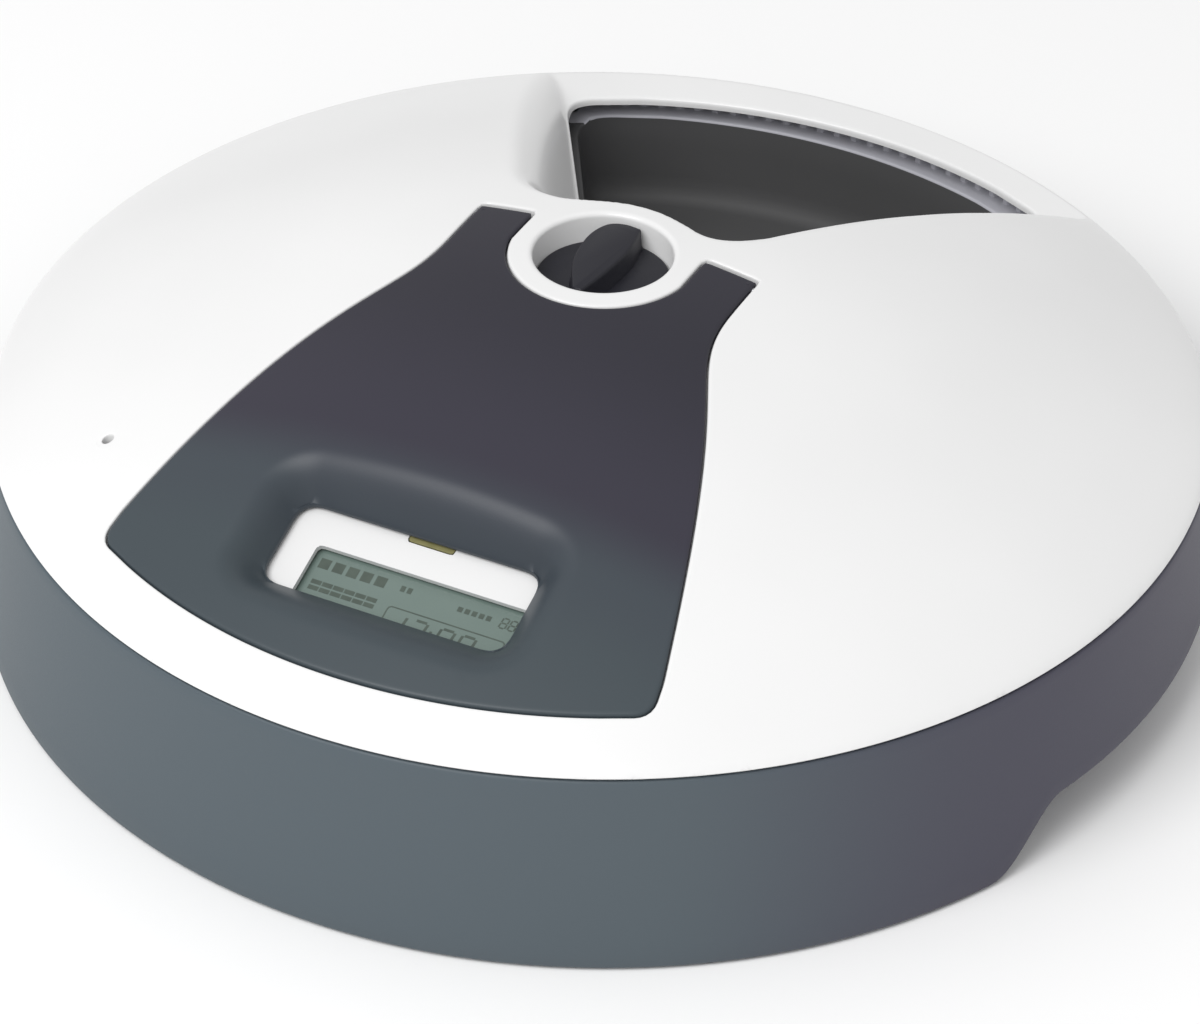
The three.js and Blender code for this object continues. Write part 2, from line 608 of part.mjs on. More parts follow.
function lidShell() {
  const outer = underDome(0);
  const shell = cut(outer, underDome(LID_WALL, 0));
  const bedWall = cut(raised(grown(flapEdge, FLAP_GAP + 2), BELOW, ABOVE), underDome(bedDepth + 2, 0));
  const deckWall = overPanel(deckOutline(2), DECK_W - DECK_THICK);
  const scoopWall = scoop(LID_WALL, SCOOP_Z - SILL_THICK);
  const hubWall = cut(rod(HUB_RING, COLLAR_Z, ABOVE, ROUND), rod(HUB_RING - LID_WALL, 0, ABOVE, ROUND));
  const hubSide = hubWall.intersect(box(120, 60, 120, 0, 30 + 12, 60));
  const cup = rod(KNOB_RECESS + 2.2, cupFloorUnder, ABOVE, 32);
  const guide = rod(SHAFT_RADIUS + RUN + 2.4, GUIDE_END_Z, cupFloorTop);
  const swing = (radius, extra) => [-1, 1].map((side) => {
    const [x0, x1] = [HORN_INNER - FLAP_GAP - extra, HORN_OUTER + FLAP_GAP + extra].map((x) => x * side);
    return alongX(radius, Math.min(x0, x1), Math.max(x0, x1));
  });
  const housings = swing(HORN_SWING + 1.8, 1.6);
  const inside = join(bedWall, deckWall, scoopWall, hubSide, cup, ...housings).intersect(outer);
  const bosses = linerScrews.map(([x, y]) => (
    movedTo(rod(BOSS_RADIUS, linerTop + TOUCH, ABOVE, 12), x, y).intersect(underDome(1, 50))
  ));
  const collarBand = box(200, OPENING_RADIUS - 40, 10, 0, (OPENING_RADIUS - 40) / 2 + 15, COLLAR_Z + 5);
  const collar = raised(grown(openingOutline(), LID_WALL), COLLAR_Z, SCOOP_Z - 0.5).intersect(collarBand);
  let lid = join(shell, inside, guide, collar, hubSide.intersect(underDome(1, COLLAR_Z)), ...bosses);

  const bed = cut(raised(grown(flapEdge, FLAP_GAP), BELOW, ABOVE), underDome(bedDepth, 0));
  const pilot = rod(SCREW_SHANK + TOUCH, LINER_Z, screwTop + TOUCH, 12);
  const pilots = linerScrews.map(([x, y]) => movedTo(pilot, x, y));
  lid = cut(lid, bed, overPanel(deckOutline(0), DECK_W), scoop(0, SCOOP_Z));
  lid = cut(lid, ...swing(HORN_SWING, 0), ...pilots);
  lid = cut(lid, raised(openingOutline(), COLLAR_Z - 1, SCOOP_Z + 1));
  lid = cut(lid, rod(KNOB_RECESS, cupFloorTop, ABOVE, 32), rod(SHAFT_RADIUS + RUN, GUIDE_END_Z - 1, ABOVE));
  lid = cut(lid, movedTo(rod(MIC_RADIUS, 50, ABOVE, 12), ...MIC_PLACE));
  [-1, 1].forEach((side) => {
    const [x0, x1] = [HORN_INNER - 2.4, HORN_OUTER + 2.2].map((x) => x * side).sort((a, b) => a - b);
    lid = cut(lid, alongX(PIN_RADIUS + TOUCH, x0, x1));
  });
  buttonPlaces.forEach(([u, v]) => {
    lid = cut(lid, onPanel(movedTo(rod(BUTTON_RADIUS + 0.4, DECK_W - DECK_THICK - 1, DECK_W + 1), u, v)));
  });
  const lcdEdge = rectangle(LCD[0] - 2 * LCD_LIP, LCD[1] - 2 * LCD_LIP, 2, ...LCD_PLACE);
  const lensEdge = rectangle(LENS[0] + 2 * TOUCH, LENS[1] + 2 * TOUCH, 0.8, ...LENS_PLACE);
  const lcdHole = raised(lcdEdge, deckUnder - 1, DECK_W + 1);
  const lensHole = raised(lensEdge, deckUnder - 1, DECK_W + 1);
  return cut(lid, onPanel(lcdHole), onPanel(lensHole));
}
piece('lid_shell', lidShell(), WHITE);

// ---- Cover flap -------------------------------------------------------------------------------------
const windowLine = (w, extra) => rectangle(
  WINDOW[0] + 2 * (FUNNEL_RUN * w + extra), WINDOW[1] + 2 * (FUNNEL_RUN * w + extra), WINDOW_CORNER + w / 2,
);

function displayCover() {
  const skin = cut(raised(flapEdge, BELOW, ABOVE), underDome(FLAP_THICK, 0)).intersect(underDome(0, 40));
  const reach = 16;
  const funnel = onPanel(lofted(windowLine(-1, FUNNEL_WALL), windowLine(reach, FUNNEL_WALL), -1.2, reach));
  const hollow = onPanel(lofted(windowLine(0, 0), windowLine(reach + 1, 0), 0, reach + 1));
  const hole = onPanel(raised(rectangle(WINDOW[0], WINDOW[1], WINDOW_CORNER), -3, 1));
  const inFlap = underDome(0, 40).intersect(raised(flapEdge, BELOW, ABOVE));
  let flap = cut(join(skin, funnel.intersect(inFlap)), hollow, hole);
  [-1, 1].forEach((side) => {
    const [x0, x1] = [HORN_INNER + 1.4, HORN_OUTER - 1].map((x) => x * side).sort((a, b) => a - b);
    const barrel = alongX(BARREL_RADIUS, x0, x1);
    const [p0, p1] = [HORN_INNER - 3, HORN_OUTER + 3].map((x) => x * side).sort((a, b) => a - b);
    flap = cut(join(flap, barrel), alongX(PIN_RADIUS + TOUCH, p0, p1));
  });
  return flap;
}
piece('display_cover', displayCover(), DARK);
[['left', -1], ['right', 1]].forEach(([name, side]) => {
  const [x0, x1] = [HORN_INNER - 2.1, HORN_OUTER + 1.9].map((x) => x * side).sort((a, b) => a - b);
  piece(`hinge_pin_${name}`, alongX(PIN_RADIUS, x0, x1, 12), STEEL);
});

// ---- Knob -------------------------------------------------------------------------------------------
// A leaf-shaped grip: one side nearly straight, the other bowed.
function bladeOutline() {
  const start = new THREE.Vector2(0.6, -15.6);
  const end = new THREE.Vector2(1.6, 16);
  const right = new THREE.QuadraticBezierCurve(start, new THREE.Vector2(5.4, 2), end).getPoints(6);
  const left = new THREE.CubicBezierCurve(
    end, new THREE.Vector2(-7.5, 15.5), new THREE.Vector2(-11.5, 4), new THREE.Vector2(-1.6, -15.6),
  ).getPoints(10);
  return [...right, ...left.slice(1)].map((p) => [p.x, p.y]);
}

function lockKnob() {
  const disc = rod(KNOB_RECESS - RUN, knobUnder, KNOB_FLOOR_Z, 32);
  const blade = raised(bladeOutline(), KNOB_FLOOR_Z - 1, KNOB_FLOOR_Z + BLADE_RISE);
  return cut(join(disc, blade), rod(SHAFT_RADIUS - 1 + TOUCH, knobUnder - 1, knobUnder + 1.6));
}
piece('lock_knob', lockKnob(), KNOB);

const lugBottom = lugTop - LUG_THICK;
function knobShaft() {
  const body = join(
    rod(SHAFT_RADIUS, lugBottom - 2, knobUnder - TOUCH),
    rod(SHAFT_RADIUS - 1, knobUnder - 1, knobUnder + 1.3),
    box(2 * LUG_REACH, 2 * LUG_HALF_WIDTH, LUG_THICK, 0, 0, (lugTop + lugBottom) / 2),
  );
  return cut(body, rod(1.9, lugBottom - 3, lugBottom + 22, 12));
}
piece('knob_shaft', knobShaft(), NYLON);
const shaftScrewHead = rod(2.8, lugBottom - 4, lugBottom - 2 - TOUCH, 16);
piece('shaft_screw', join(shaftScrewHead, rod(1.4, lugBottom - 3, lugBottom + 18, 12)), STEEL);

// ---- Display, board and buttons -----------------------------------------------------------------
const boardTop = BOARD_W + BOARD_THICK;
const glassTop = deckUnder - TOUCH;
const glassUnder = glassTop - GLASS_THICK;
piece('lcd_glass', onPanel(raised(rectangle(...LCD, 1, ...LCD_PLACE), glassUnder, glassTop)), GLASS);
const backing = rectangle(LCD[0] + 2, LCD[1] - 2, 1, ...LCD_PLACE);
piece('lcd_backing', onPanel(raised(backing, boardTop + TOUCH, glassUnder - TOUCH)), WHITE);
const boardOutline = rectangle(...BOARD, 2, 0, BOARD_V);
piece('circuit_board', onPanel(raised(boardOutline, BOARD_W, boardTop)), BOARD_GREEN);
buttonPlaces.forEach(([u, v], i) => {
  const travel = 0.9;
  const switchTop = boardTop + TOUCH + 1.2;
  const button = turned([
    [0, switchTop + travel + 0.2], [BUTTON_RADIUS, switchTop + travel + 0.2],
    [BUTTON_RADIUS, DECK_W + BUTTON_PROUD - 0.8],
    [BUTTON_RADIUS - 0.8, DECK_W + BUTTON_PROUD], [0, DECK_W + BUTTON_PROUD],
  ], SMALL_ROUND);
  piece(`button_${i + 1}`, onPanel(movedTo(button, u, v)), SLATE);
  piece(`button_switch_${i + 1}`, onPanel(box(6, 6, 1.2, u, v, boardTop + TOUCH + 0.6)), KNOB);
});
const lensOutline = rectangle(...LENS, 0.8, ...LENS_PLACE);
piece('low_battery_lens', onPanel(raised(lensOutline, boardTop + 1.6, DECK_W)), LENS_AMBER);

const micTop = domeZ(Math.hypot(...MIC_PLACE) + MIC_CAN) - LID_WALL - 2 * TOUCH;
piece('microphone', movedTo(rod(MIC_CAN, micTop - 4, micTop), ...MIC_PLACE), STEEL);
const speakerZ = linerTop + TOUCH;
const speaker = turned([
  [0, speakerZ], [12, speakerZ], [12, speakerZ + 2.8], [8, speakerZ + 5.8], [0, speakerZ + 5.8],
], SMALL_ROUND);
piece('speaker', movedTo(speaker, ...SPEAKER_PLACE), KNOB);

// ---- Liner under the lid --------------------------------------------------------------------------
const bayLength = CELL_LENGTH + 6;
const bayWidth = CELL_COUNT * CELL_PITCH + 1;
const bayTop = linerTop + 2 * CELL_RADIUS + 2.2;

function lidLiner() {
  const plate = rod(LINER_RADIUS, LINER_Z, linerTop, ROUND);
  const rim = tube(LINER_RADIUS - 1.5, LINER_RADIUS, LINER_Z, LINER_RIM_Z);
  const [bx, by] = BAY_CENTRE;
  const bayMiddle = (bayTop + LINER_Z) / 2;
  const bay = box(bayLength + 2 * BAY_WALL, bayWidth + 2 * BAY_WALL, bayTop - LINER_Z, bx, by, bayMiddle);
  const bayHollow = box(bayLength, bayWidth, bayTop - LINER_Z, bx, by, (bayTop + LINER_Z) / 2 - BAY_WALL);
  let liner = cut(join(plate, rim, bay), bayHollow);
  const clear = grown(openingOutline(), LID_WALL + RUN);
  const wedge = raised(clear, LINER_Z - 1, 90);
  const beyond = box(180, 60, 40, 0, OPENING_RADIUS - 8, 60);
  const hub = rod(HUB_RING + RUN, LINER_Z - 1, 90, 36).intersect(box(80, 80, 100, 0, 48, 60));
  liner = cut(liner, wedge, beyond, hub, rod(POST_RADIUS + 1.5, LINER_Z - 1, 90, 36));
  liner = cut(liner, movedTo(rod(pinionPitch + TOOTH_OUT + 1.4, LINER_Z - 1, linerTop + 1), ...pinionPlace));
  linerScrews.forEach(([x, y]) => {
    liner = cut(liner, movedTo(rod(SCREW_SHANK + TOUCH, LINER_Z - 1, linerTop + 1, 12), x, y));
  });
  return liner;
}
piece('lid_liner', lidLiner(), WHITE);
linerScrews.forEach(([x, y], i) => {
  const head = rod(SCREW_HEAD, LINER_Z - 1.5, LINER_Z - TOUCH, 16);
  const screw = join(head, rod(SCREW_SHANK, LINER_Z - 1, screwTop, 12));
  piece(`liner_screw_${i + 1}`, movedTo(screw, x, y), STEEL);
});
const [bayX, bayY] = BAY_CENTRE;
const doorTop = LINER_Z - TOUCH;
const batteryDoor = join(
  box(bayLength + 2 * DOOR_MARGIN, bayWidth + 2 * DOOR_MARGIN, DOOR_THICK, bayX, bayY, doorTop - DOOR_THICK / 2),
  box(bayLength - 14, bayWidth - 4, 1.6, bayX, bayY, doorTop + 0.6),
);
piece('battery_door', batteryDoor, WHITE);

// ---- Cells and contacts -----------------------------------------------------------------------------
for (let i = 0; i < CELL_COUNT; i += 1) {
  const y = bayY + (i - (CELL_COUNT - 1) / 2) * CELL_PITCH;
  const half = CELL_LENGTH / 2;
  const geometry = new THREE.LatheGeometry([
    [0, -half], [CELL_RADIUS, -half], [CELL_RADIUS, half - 1.5], [2.7, half - 1.5], [2.7, half], [0, half],
  ].map(([r, h]) => new THREE.Vector2(r, h)), 20);
  geometry.rotateZ(i % 2 ? Math.PI / 2 : -Math.PI / 2).translate(bayX, y, linerTop + CELL_RADIUS + 0.6);
  piece(`battery_${i + 1}`, solid(geometry), CELL);
}
[-1, 1].forEach((side, i) => {
  const x = bayX + side * (bayLength / 2 - TOUCH - 0.5);
  piece(`battery_contact_${i + 1}`, box(1, bayWidth - 3, 11, x, bayY, linerTop + CELL_RADIUS + 0.6), STEEL);
});

// ---- Drive ------------------------------------------------------------------------------------------
const caseTop = 57.4;
const driveRadius = GEAR_PITCH_RADIUS - pinionPitch;
const caseBottom = linerTop + TOUCH;
function alongRadius(body) {
  return turnedBy(body, PINION_ANGLE);
}
const shaftHole = movedTo(rod(3 + RUN, 40, 80, 16), driveRadius, 0);
const gearCase = cut(box(56, 26, caseTop - caseBottom, driveRadius - 24, 0, (caseTop + caseBottom) / 2), shaftHole);
piece('gearbox', alongRadius(gearCase), NYLON);
const canGeometry = new THREE.CylinderGeometry(9, 9, 27, 20).rotateZ(Math.PI / 2);
piece('drive_motor', alongRadius(solid(canGeometry.translate(driveRadius - 54 - 14, 0, caseBottom + 9.2))), STEEL);
piece('drive_shaft', movedTo(rod(3, RIM_Z + 1, caseTop - 0.6, 16), ...pinionPlace), STEEL);
const pinionPhase = PINION_ANGLE + (180 / PINION_TEETH);
const pinionBottom = RIM_Z + 0.9;
const pinionTip = pinionPitch + TOOTH_OUT - TOOTH_ROOM;
const pinionRoot = pinionPitch - TOOTH_IN - TOOTH_ROOM;
const pinionOutline = teeth(PINION_TEETH, pinionTip, pinionRoot, PINION_SHARE);
const pinionBody = cut(raised(pinionOutline, pinionBottom, gearTop - 0.3), rod(3 + TOUCH, 40, 60, 16));
piece('drive_pinion', movedTo(turnedBy(pinionBody, pinionPhase), ...pinionPlace), NYLON);
const sensorPlace = polar(CAVITY_RADIUS - 4, 150);
piece('position_sensor', movedTo(box(8, 5, 3, 0, 0, linerTop + TOUCH + 1.5), ...sensorPlace), KNOB);

export default feeder;
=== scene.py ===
# %% [markdown]
# # An automatic pet feeder
# A round base holds a turning food tray. A white dome lies over it, with a scooped opening that
# uncovers one compartment at a time, a leaf-shaped lock knob in the middle and a dark cover flap
# whose window shows the clock. The CAD model gives the frame: where each body is and how it moves.
# Here each visible piece gets its rounded edges, its smooth skin and its finish.

# %% Load the frame
import json
import math

import bmesh
import bpy
import numpy as np
from mathutils import Matrix, Vector
from mathutils.geometry import delaunay_2d_cdt


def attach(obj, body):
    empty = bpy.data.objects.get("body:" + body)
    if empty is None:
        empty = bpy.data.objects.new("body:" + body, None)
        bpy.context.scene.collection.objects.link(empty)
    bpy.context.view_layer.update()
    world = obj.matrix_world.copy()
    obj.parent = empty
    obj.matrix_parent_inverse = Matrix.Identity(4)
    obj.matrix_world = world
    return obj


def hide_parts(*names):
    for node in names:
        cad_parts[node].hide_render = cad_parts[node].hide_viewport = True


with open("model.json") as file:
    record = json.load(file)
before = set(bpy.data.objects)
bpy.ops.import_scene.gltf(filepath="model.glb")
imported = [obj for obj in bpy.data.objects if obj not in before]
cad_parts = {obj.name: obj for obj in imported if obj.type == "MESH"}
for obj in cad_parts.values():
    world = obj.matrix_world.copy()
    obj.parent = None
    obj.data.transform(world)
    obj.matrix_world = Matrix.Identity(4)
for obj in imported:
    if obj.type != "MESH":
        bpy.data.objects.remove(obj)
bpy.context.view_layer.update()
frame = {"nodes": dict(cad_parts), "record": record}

# %% [markdown]
# ## Sizes
# The sizes that several pieces share stand together, in metres. The dome is a shallow paraboloid,
# which drops by r * r / (2 * DOME_CURVE), and turns down to the seam in a short curve.

# %% Shared sizes
BASE_RADIUS = 0.160
SEAM_RADIUS = 0.1547
SEAM_Z = 0.0534
SEAM_GAP = 0.0006
DOME_TOP = 0.0960
DOME_CURVE = 0.294
EDGE_START = 0.1425
HALF_OPENING = math.radians(31)
SILL_Z = 0.056
COLLAR_Z = 0.0522
HUB_RADIUS = 0.0254
KNOB_RECESS = 0.0176
KNOB_FLOOR = 0.088
PANEL_TILT = math.radians(20.4)
PANEL_ORIGIN = np.array([0.0, -0.106, 0.0656])
DECK_W = -0.0022
WINDOW = (0.065, 0.0238)
BED_DEPTH = 0.0032
HINGE = (0.006, 0.0917)


def dome_z(radius):
    return DOME_TOP - radius * radius / (2 * DOME_CURVE)


print("dome height at the edge", round(float(dome_z(EDGE_START)), 4))

# %% [markdown]
# ## Camera
# The feeder is seen from its front right, from above, through a long lens. The camera stands on a
# circle round the feeder's axis and looks down at it, turned a little about its own line of sight.

# %% Camera
CAMERA_AZIMUTH = math.radians(26.2)
CAMERA_AWAY = 0.9215
CAMERA_HEIGHT = 0.6985
CAMERA_DOWN = 0.63842
CAMERA_ROLL = 0.012417


def place_camera():
    back = Vector((math.sin(CAMERA_AZIMUTH), -math.cos(CAMERA_AZIMUTH), 0))
    right = Vector((math.cos(CAMERA_AZIMUTH), math.sin(CAMERA_AZIMUTH), 0))
    look = -back * math.cos(CAMERA_DOWN) - Vector((0, 0, math.sin(CAMERA_DOWN)))
    up = right.cross(look)
    turned_right = right * math.cos(CAMERA_ROLL) + up * math.sin(CAMERA_ROLL)
    turned_up = up * math.cos(CAMERA_ROLL) - right * math.sin(CAMERA_ROLL)
    camera = bpy.data.objects.new("camera", bpy.data.cameras.new("camera"))
    bpy.context.collection.objects.link(camera)
    turn = Matrix((turned_right, turned_up, -look)).transposed().to_4x4()
    camera.matrix_world = Matrix.Translation(back * CAMERA_AWAY + Vector((0, 0, CAMERA_HEIGHT))) @ turn
    camera.data.sensor_width = 36
    camera.data.lens = 132.42
    camera.data.clip_start = 0.05
    bpy.context.scene.camera = camera
    return camera


camera = place_camera()
print("camera at", [round(v, 4) for v in camera.location])

# %% [markdown]
# ## Floor and light
# A plain pale floor and soft light keep attention on the feeder. A bright, even world fills the
# shadows, and one wide lamp in front and to the left models the dome and the base. The plain view
# transform keeps the white of the floor and the lid.

# %% Floor and light


def place_lamp(name, spot, aim, size, power):
    data = bpy.data.lights.new(name, "AREA")
    data.shape = "DISK"
    data.size = size
    data.energy = power
    lamp = bpy.data.objects.new(name, data)
    lamp.location = spot
    lamp.rotation_euler = (Vector(aim) - Vector(spot)).to_track_quat("-Z", "Y").to_euler()
    bpy.context.collection.objects.link(lamp)
    return lamp


def place_floor():
    mesh = bpy.data.meshes.new("floor")
    reach = 6.0
    corners = [(-reach, -reach, 0), (reach, -reach, 0), (reach, reach, 0), (-reach, reach, 0)]
    mesh.from_pydata(corners, [], [(0, 1, 2, 3)])
    floor = bpy.data.objects.new("floor", mesh)
    bpy.context.collection.objects.link(floor)
    material = bpy.data.materials.new("pale_floor")
    material.use_nodes = True
    shader = material.node_tree.nodes["Principled BSDF"]
    shader.inputs["Base Color"].default_value = (0.93, 0.93, 0.93, 1)
    shader.inputs["Roughness"].default_value = 0.9
    floor.data.materials.append(material)


place_floor()
world = bpy.data.worlds.new("studio")
world.use_nodes = True
world.node_tree.nodes["Background"].inputs["Color"].default_value = (1, 1, 1, 1)
world.node_tree.nodes["Background"].inputs["Strength"].default_value = 0.70
bpy.context.scene.world = world
bpy.context.scene.view_settings.view_transform = "Standard"
place_lamp("front", (-0.25, -1.05, 1.35), (0, 0, 0.05), 1.2, 18)

# %% [markdown]
# ## Moulded plastic
# Every moulded part shares one recipe: a base colour that drifts slightly from place to place, a
# fine tool texture as a bump, and a roughness that varies a little. Each finish sets its own
# colours, grain and gloss.

# %% A recipe for moulded plastic


def ramp_between(nodes, links, factor, low, high):
    ramp = nodes.new("ShaderNodeValToRGB")
    ramp.color_ramp.elements[0].color = (*low, 1)
    ramp.color_ramp.elements[1].color = (*high, 1)
    ramp.color_ramp.elements[0].position = 0.3
    ramp.color_ramp.elements[1].position = 0.7
    links.new(factor, ramp.inputs["Fac"])
    return ramp.outputs["Color"]


def noise_of(nodes, links, where, scale, detail=3.0):
    noise = nodes.new("ShaderNodeTexNoise")
    noise.inputs["Scale"].default_value = scale
    noise.inputs["Detail"].default_value = detail
    links.new(where, noise.inputs["Vector"])
    return noise.outputs["Fac"]


def plastic(name, low, high, rough=(0.35, 0.45), grain=2600, bump=0.03, drift=14, coat=0.0, metal=0.0,
            shine=0.5):
    material = bpy.data.materials.new(name)
    material.use_nodes = True
    nodes, links = material.node_tree.nodes, material.node_tree.links
    shader = nodes["Principled BSDF"]
    where = nodes.new("ShaderNodeTexCoord").outputs["Object"]
    slow = noise_of(nodes, links, where, drift, 2.0)
    fine = noise_of(nodes, links, where, grain)
    links.new(ramp_between(nodes, links, slow, low, high), shader.inputs["Base Color"])
    reach = nodes.new("ShaderNodeMapRange")
    reach.inputs["To Min"].default_value = rough[0]
    reach.inputs["To Max"].default_value = rough[1]
    links.new(fine, reach.inputs["Value"])
    links.new(reach.outputs["Result"], shader.inputs["Roughness"])
    lift = nodes.new("ShaderNodeBump")
    lift.inputs["Strength"].default_value = bump
    lift.inputs["Distance"].default_value = 0.0002
    links.new(fine, lift.inputs["Height"])
    links.new(lift.outputs["Normal"], shader.inputs["Normal"])
    shader.inputs["Coat Weight"].default_value = coat
    shader.inputs["Metallic"].default_value = metal
    shader.inputs["Specular IOR Level"].default_value = shine
    return material


def blended(name, axis, stops, rough, bump):
    """Plastic whose colour passes through the stops, each a place along the axis and a colour."""
    material = plastic(name, stops[0][1], stops[0][1], rough, bump=bump, shine=0.4)
    nodes, links = material.node_tree.nodes, material.node_tree.links
    split = nodes.new("ShaderNodeSeparateXYZ")
    links.new(nodes.new("ShaderNodeTexCoord").outputs["Object"], split.inputs["Vector"])
    reach = nodes.new("ShaderNodeMapRange")
    reach.inputs["From Min"].default_value = stops[0][0]
    reach.inputs["From Max"].default_value = stops[-1][0]
    links.new(split.outputs[axis], reach.inputs["Value"])
    ramp = nodes.new("ShaderNodeValToRGB")
    ramp.color_ramp.interpolation = "EASE"
    span = stops[-1][0] - stops[0][0]
    for place, colour in stops[1:-1]:
        ramp.color_ramp.elements.new((place - stops[0][0]) / span).color = (*colour, 1)
    ramp.color_ramp.elements[0].color = (*stops[0][1], 1)
    ramp.color_ramp.elements[-1].color = (*stops[-1][1], 1)
    links.new(reach.outputs["Result"], ramp.inputs["Fac"])
    links.new(ramp.outputs["Color"], nodes["Principled BSDF"].inputs["Base Color"])
    return material


white = plastic("lid_white", (0.76, 0.76, 0.76), (0.79, 0.79, 0.79), (0.26, 0.34), bump=0.02, coat=0.15)
charcoal = plastic("tray_charcoal", (0.066, 0.066, 0.067), (0.074, 0.074, 0.076),
                   (0.55, 0.65), bump=0.08, shine=0.3)
# painted highlight: the tray's rim band and its teeth take a light grey that stands in for the light the
# band catches under the sill; elsewhere the tray is charcoal.
rim_painted_highlight = plastic("tray_rim_painted_highlight", (0.42, 0.42, 0.46), (0.46, 0.46, 0.50), (0.4, 0.5), bump=0.06, shine=0.4)
grip_dark = plastic("knob_dark", (0.012, 0.012, 0.018), (0.015, 0.015, 0.022),
                    (0.4, 0.5), bump=0.06, shine=0.3)
# painted shade: the base's colour darkens and turns purplish from x = 0.08 to x = 0.15, on the side
# turned away from the lamp.
slate = blended("base_slate", "X", (
    (-0.160, (0.070, 0.092, 0.108)), (0.080, (0.073, 0.094, 0.110)), (0.150, (0.056, 0.054, 0.080))),
    (0.42, 0.55), 0.12)
button_grey = plastic("button_grey", (0.11, 0.13, 0.15), (0.13, 0.15, 0.17), (0.4, 0.5), bump=0.06)
rubber = plastic("foot_rubber", (0.018, 0.018, 0.018), (0.03, 0.03, 0.03), (0.75, 0.9), bump=0.3)
steel = plastic("plated_steel", (0.52, 0.53, 0.55), (0.62, 0.63, 0.65), (0.22, 0.38), grain=900,
                metal=1.0)
nylon = plastic("natural_nylon", (0.74, 0.71, 0.62), (0.80, 0.78, 0.70), (0.42, 0.55))
board = plastic("board_green", (0.015, 0.10, 0.04), (0.03, 0.15, 0.07), (0.3, 0.5), drift=160)
jacket = plastic("cell_jacket", (0.05, 0.08, 0.15), (0.07, 0.10, 0.18), (0.25, 0.35), coat=0.3)
amber = plastic("lens_amber", (0.20, 0.19, 0.08), (0.27, 0.25, 0.12), (0.2, 0.3), drift=300)
lcd_grey = plastic("display_glass", (0.135, 0.185, 0.165), (0.155, 0.205, 0.185), (0.18, 0.24), drift=40,
                   coat=0.3)
print("finishes", len(bpy.data.materials))

# %% [markdown]
# ## Building skins
# The dome, the flap and the tray are sheets with holes in them. Each is laid out flat first: its
# outlines are kept as edges, a grid of points fills the space between them, and a triangulation
# joins it all. Then every point is lifted to its place. Rounded edges and walls are rings that go
# on from an outline, so that the sheet and its edges are one smooth skin.

# %% Outline helpers


def resampled(points, step):
    """Evenly spaced points along a closed outline."""
    points = np.asarray(points, float)
    closed = np.vstack([points, points[:1]])
    run = np.concatenate([[0], np.cumsum(np.linalg.norm(np.diff(closed, axis=0), axis=1))])
    count = max(8, int(round(run[-1] / step)))
    at = np.linspace(0, run[-1], count, endpoint=False)
    return np.stack([np.interp(at, run, closed[:, k]) for k in (0, 1)], axis=1)


def grown(outline, distance):
    """An anticlockwise outline moved outwards."""
    before, after = np.roll(outline, 1, axis=0), np.roll(outline, -1, axis=0)
    along = after - before
    out = np.stack([along[:, 1], -along[:, 0]], axis=1)
    return outline + distance * out / np.linalg.norm(out, axis=1, keepdims=True)


def circle(radius, step, cx=0.0, cy=0.0):
    count = max(16, int(round(2 * math.pi * radius / step)))
    angle = np.arange(count) * 2 * math.pi / count
    return np.stack([cx + radius * np.cos(angle), cy + radius * np.sin(angle)], axis=1)


def softened(corners, radius, steps=8):
    """Each corner replaced by a curve that starts that far from it. radius may be one per corner."""
    corners = np.asarray(corners, float)
    radii = np.broadcast_to(radius, len(corners))
    points = []
    for i, here in enumerate(corners):
        before, after = corners[i - 1] - here, corners[(i + 1) % len(corners)] - here
        reach = min(radii[i], np.linalg.norm(before) / 2.02, np.linalg.norm(after) / 2.02)
        if reach <= 0:
            points.append(here)
            continue
        start = here + before * reach / np.linalg.norm(before)
        end = here + after * reach / np.linalg.norm(after)
        for t in np.linspace(0, 1, steps):
            points.append((1 - t) ** 2 * start + 2 * t * (1 - t) * here + t * t * end)
    return np.array(points)


def rounded_box(width, height, radius, cx=0.0, cy=0.0):
    a, b = width / 2, height / 2
    return softened([(cx - a, cy - b), (cx + a, cy - b), (cx + a, cy + b), (cx - a, cy + b)], radius)


def inside(points, outline):
    """Which points lie inside the outline."""
    x, y = points[:, 0:1], points[:, 1:2]
    x0, y0 = outline[:, 0], outline[:, 1]
    x1, y1 = np.roll(x0, -1), np.roll(y0, -1)
    span = np.where(y1 == y0, 1e-12, y1 - y0)
    crosses = ((y0 > y) != (y1 > y)) & (x < (x1 - x0) * (y - y0) / span + x0)
    return crosses.sum(axis=1) % 2 == 1


def grid_points(outline, step):
    low, high = outline.min(axis=0), outline.max(axis=0)
    rows = np.arange(low[1], high[1], step * math.sqrt(3) / 2)
    columns = np.arange(low[0], high[0], step)
    points = []
    for k, y in enumerate(rows):
        points.append(np.stack([columns + (k % 2) * step / 2, np.full(len(columns), y)], axis=1))
    return np.vstack(points)


print("outline helpers ready")

# %% The skin itself


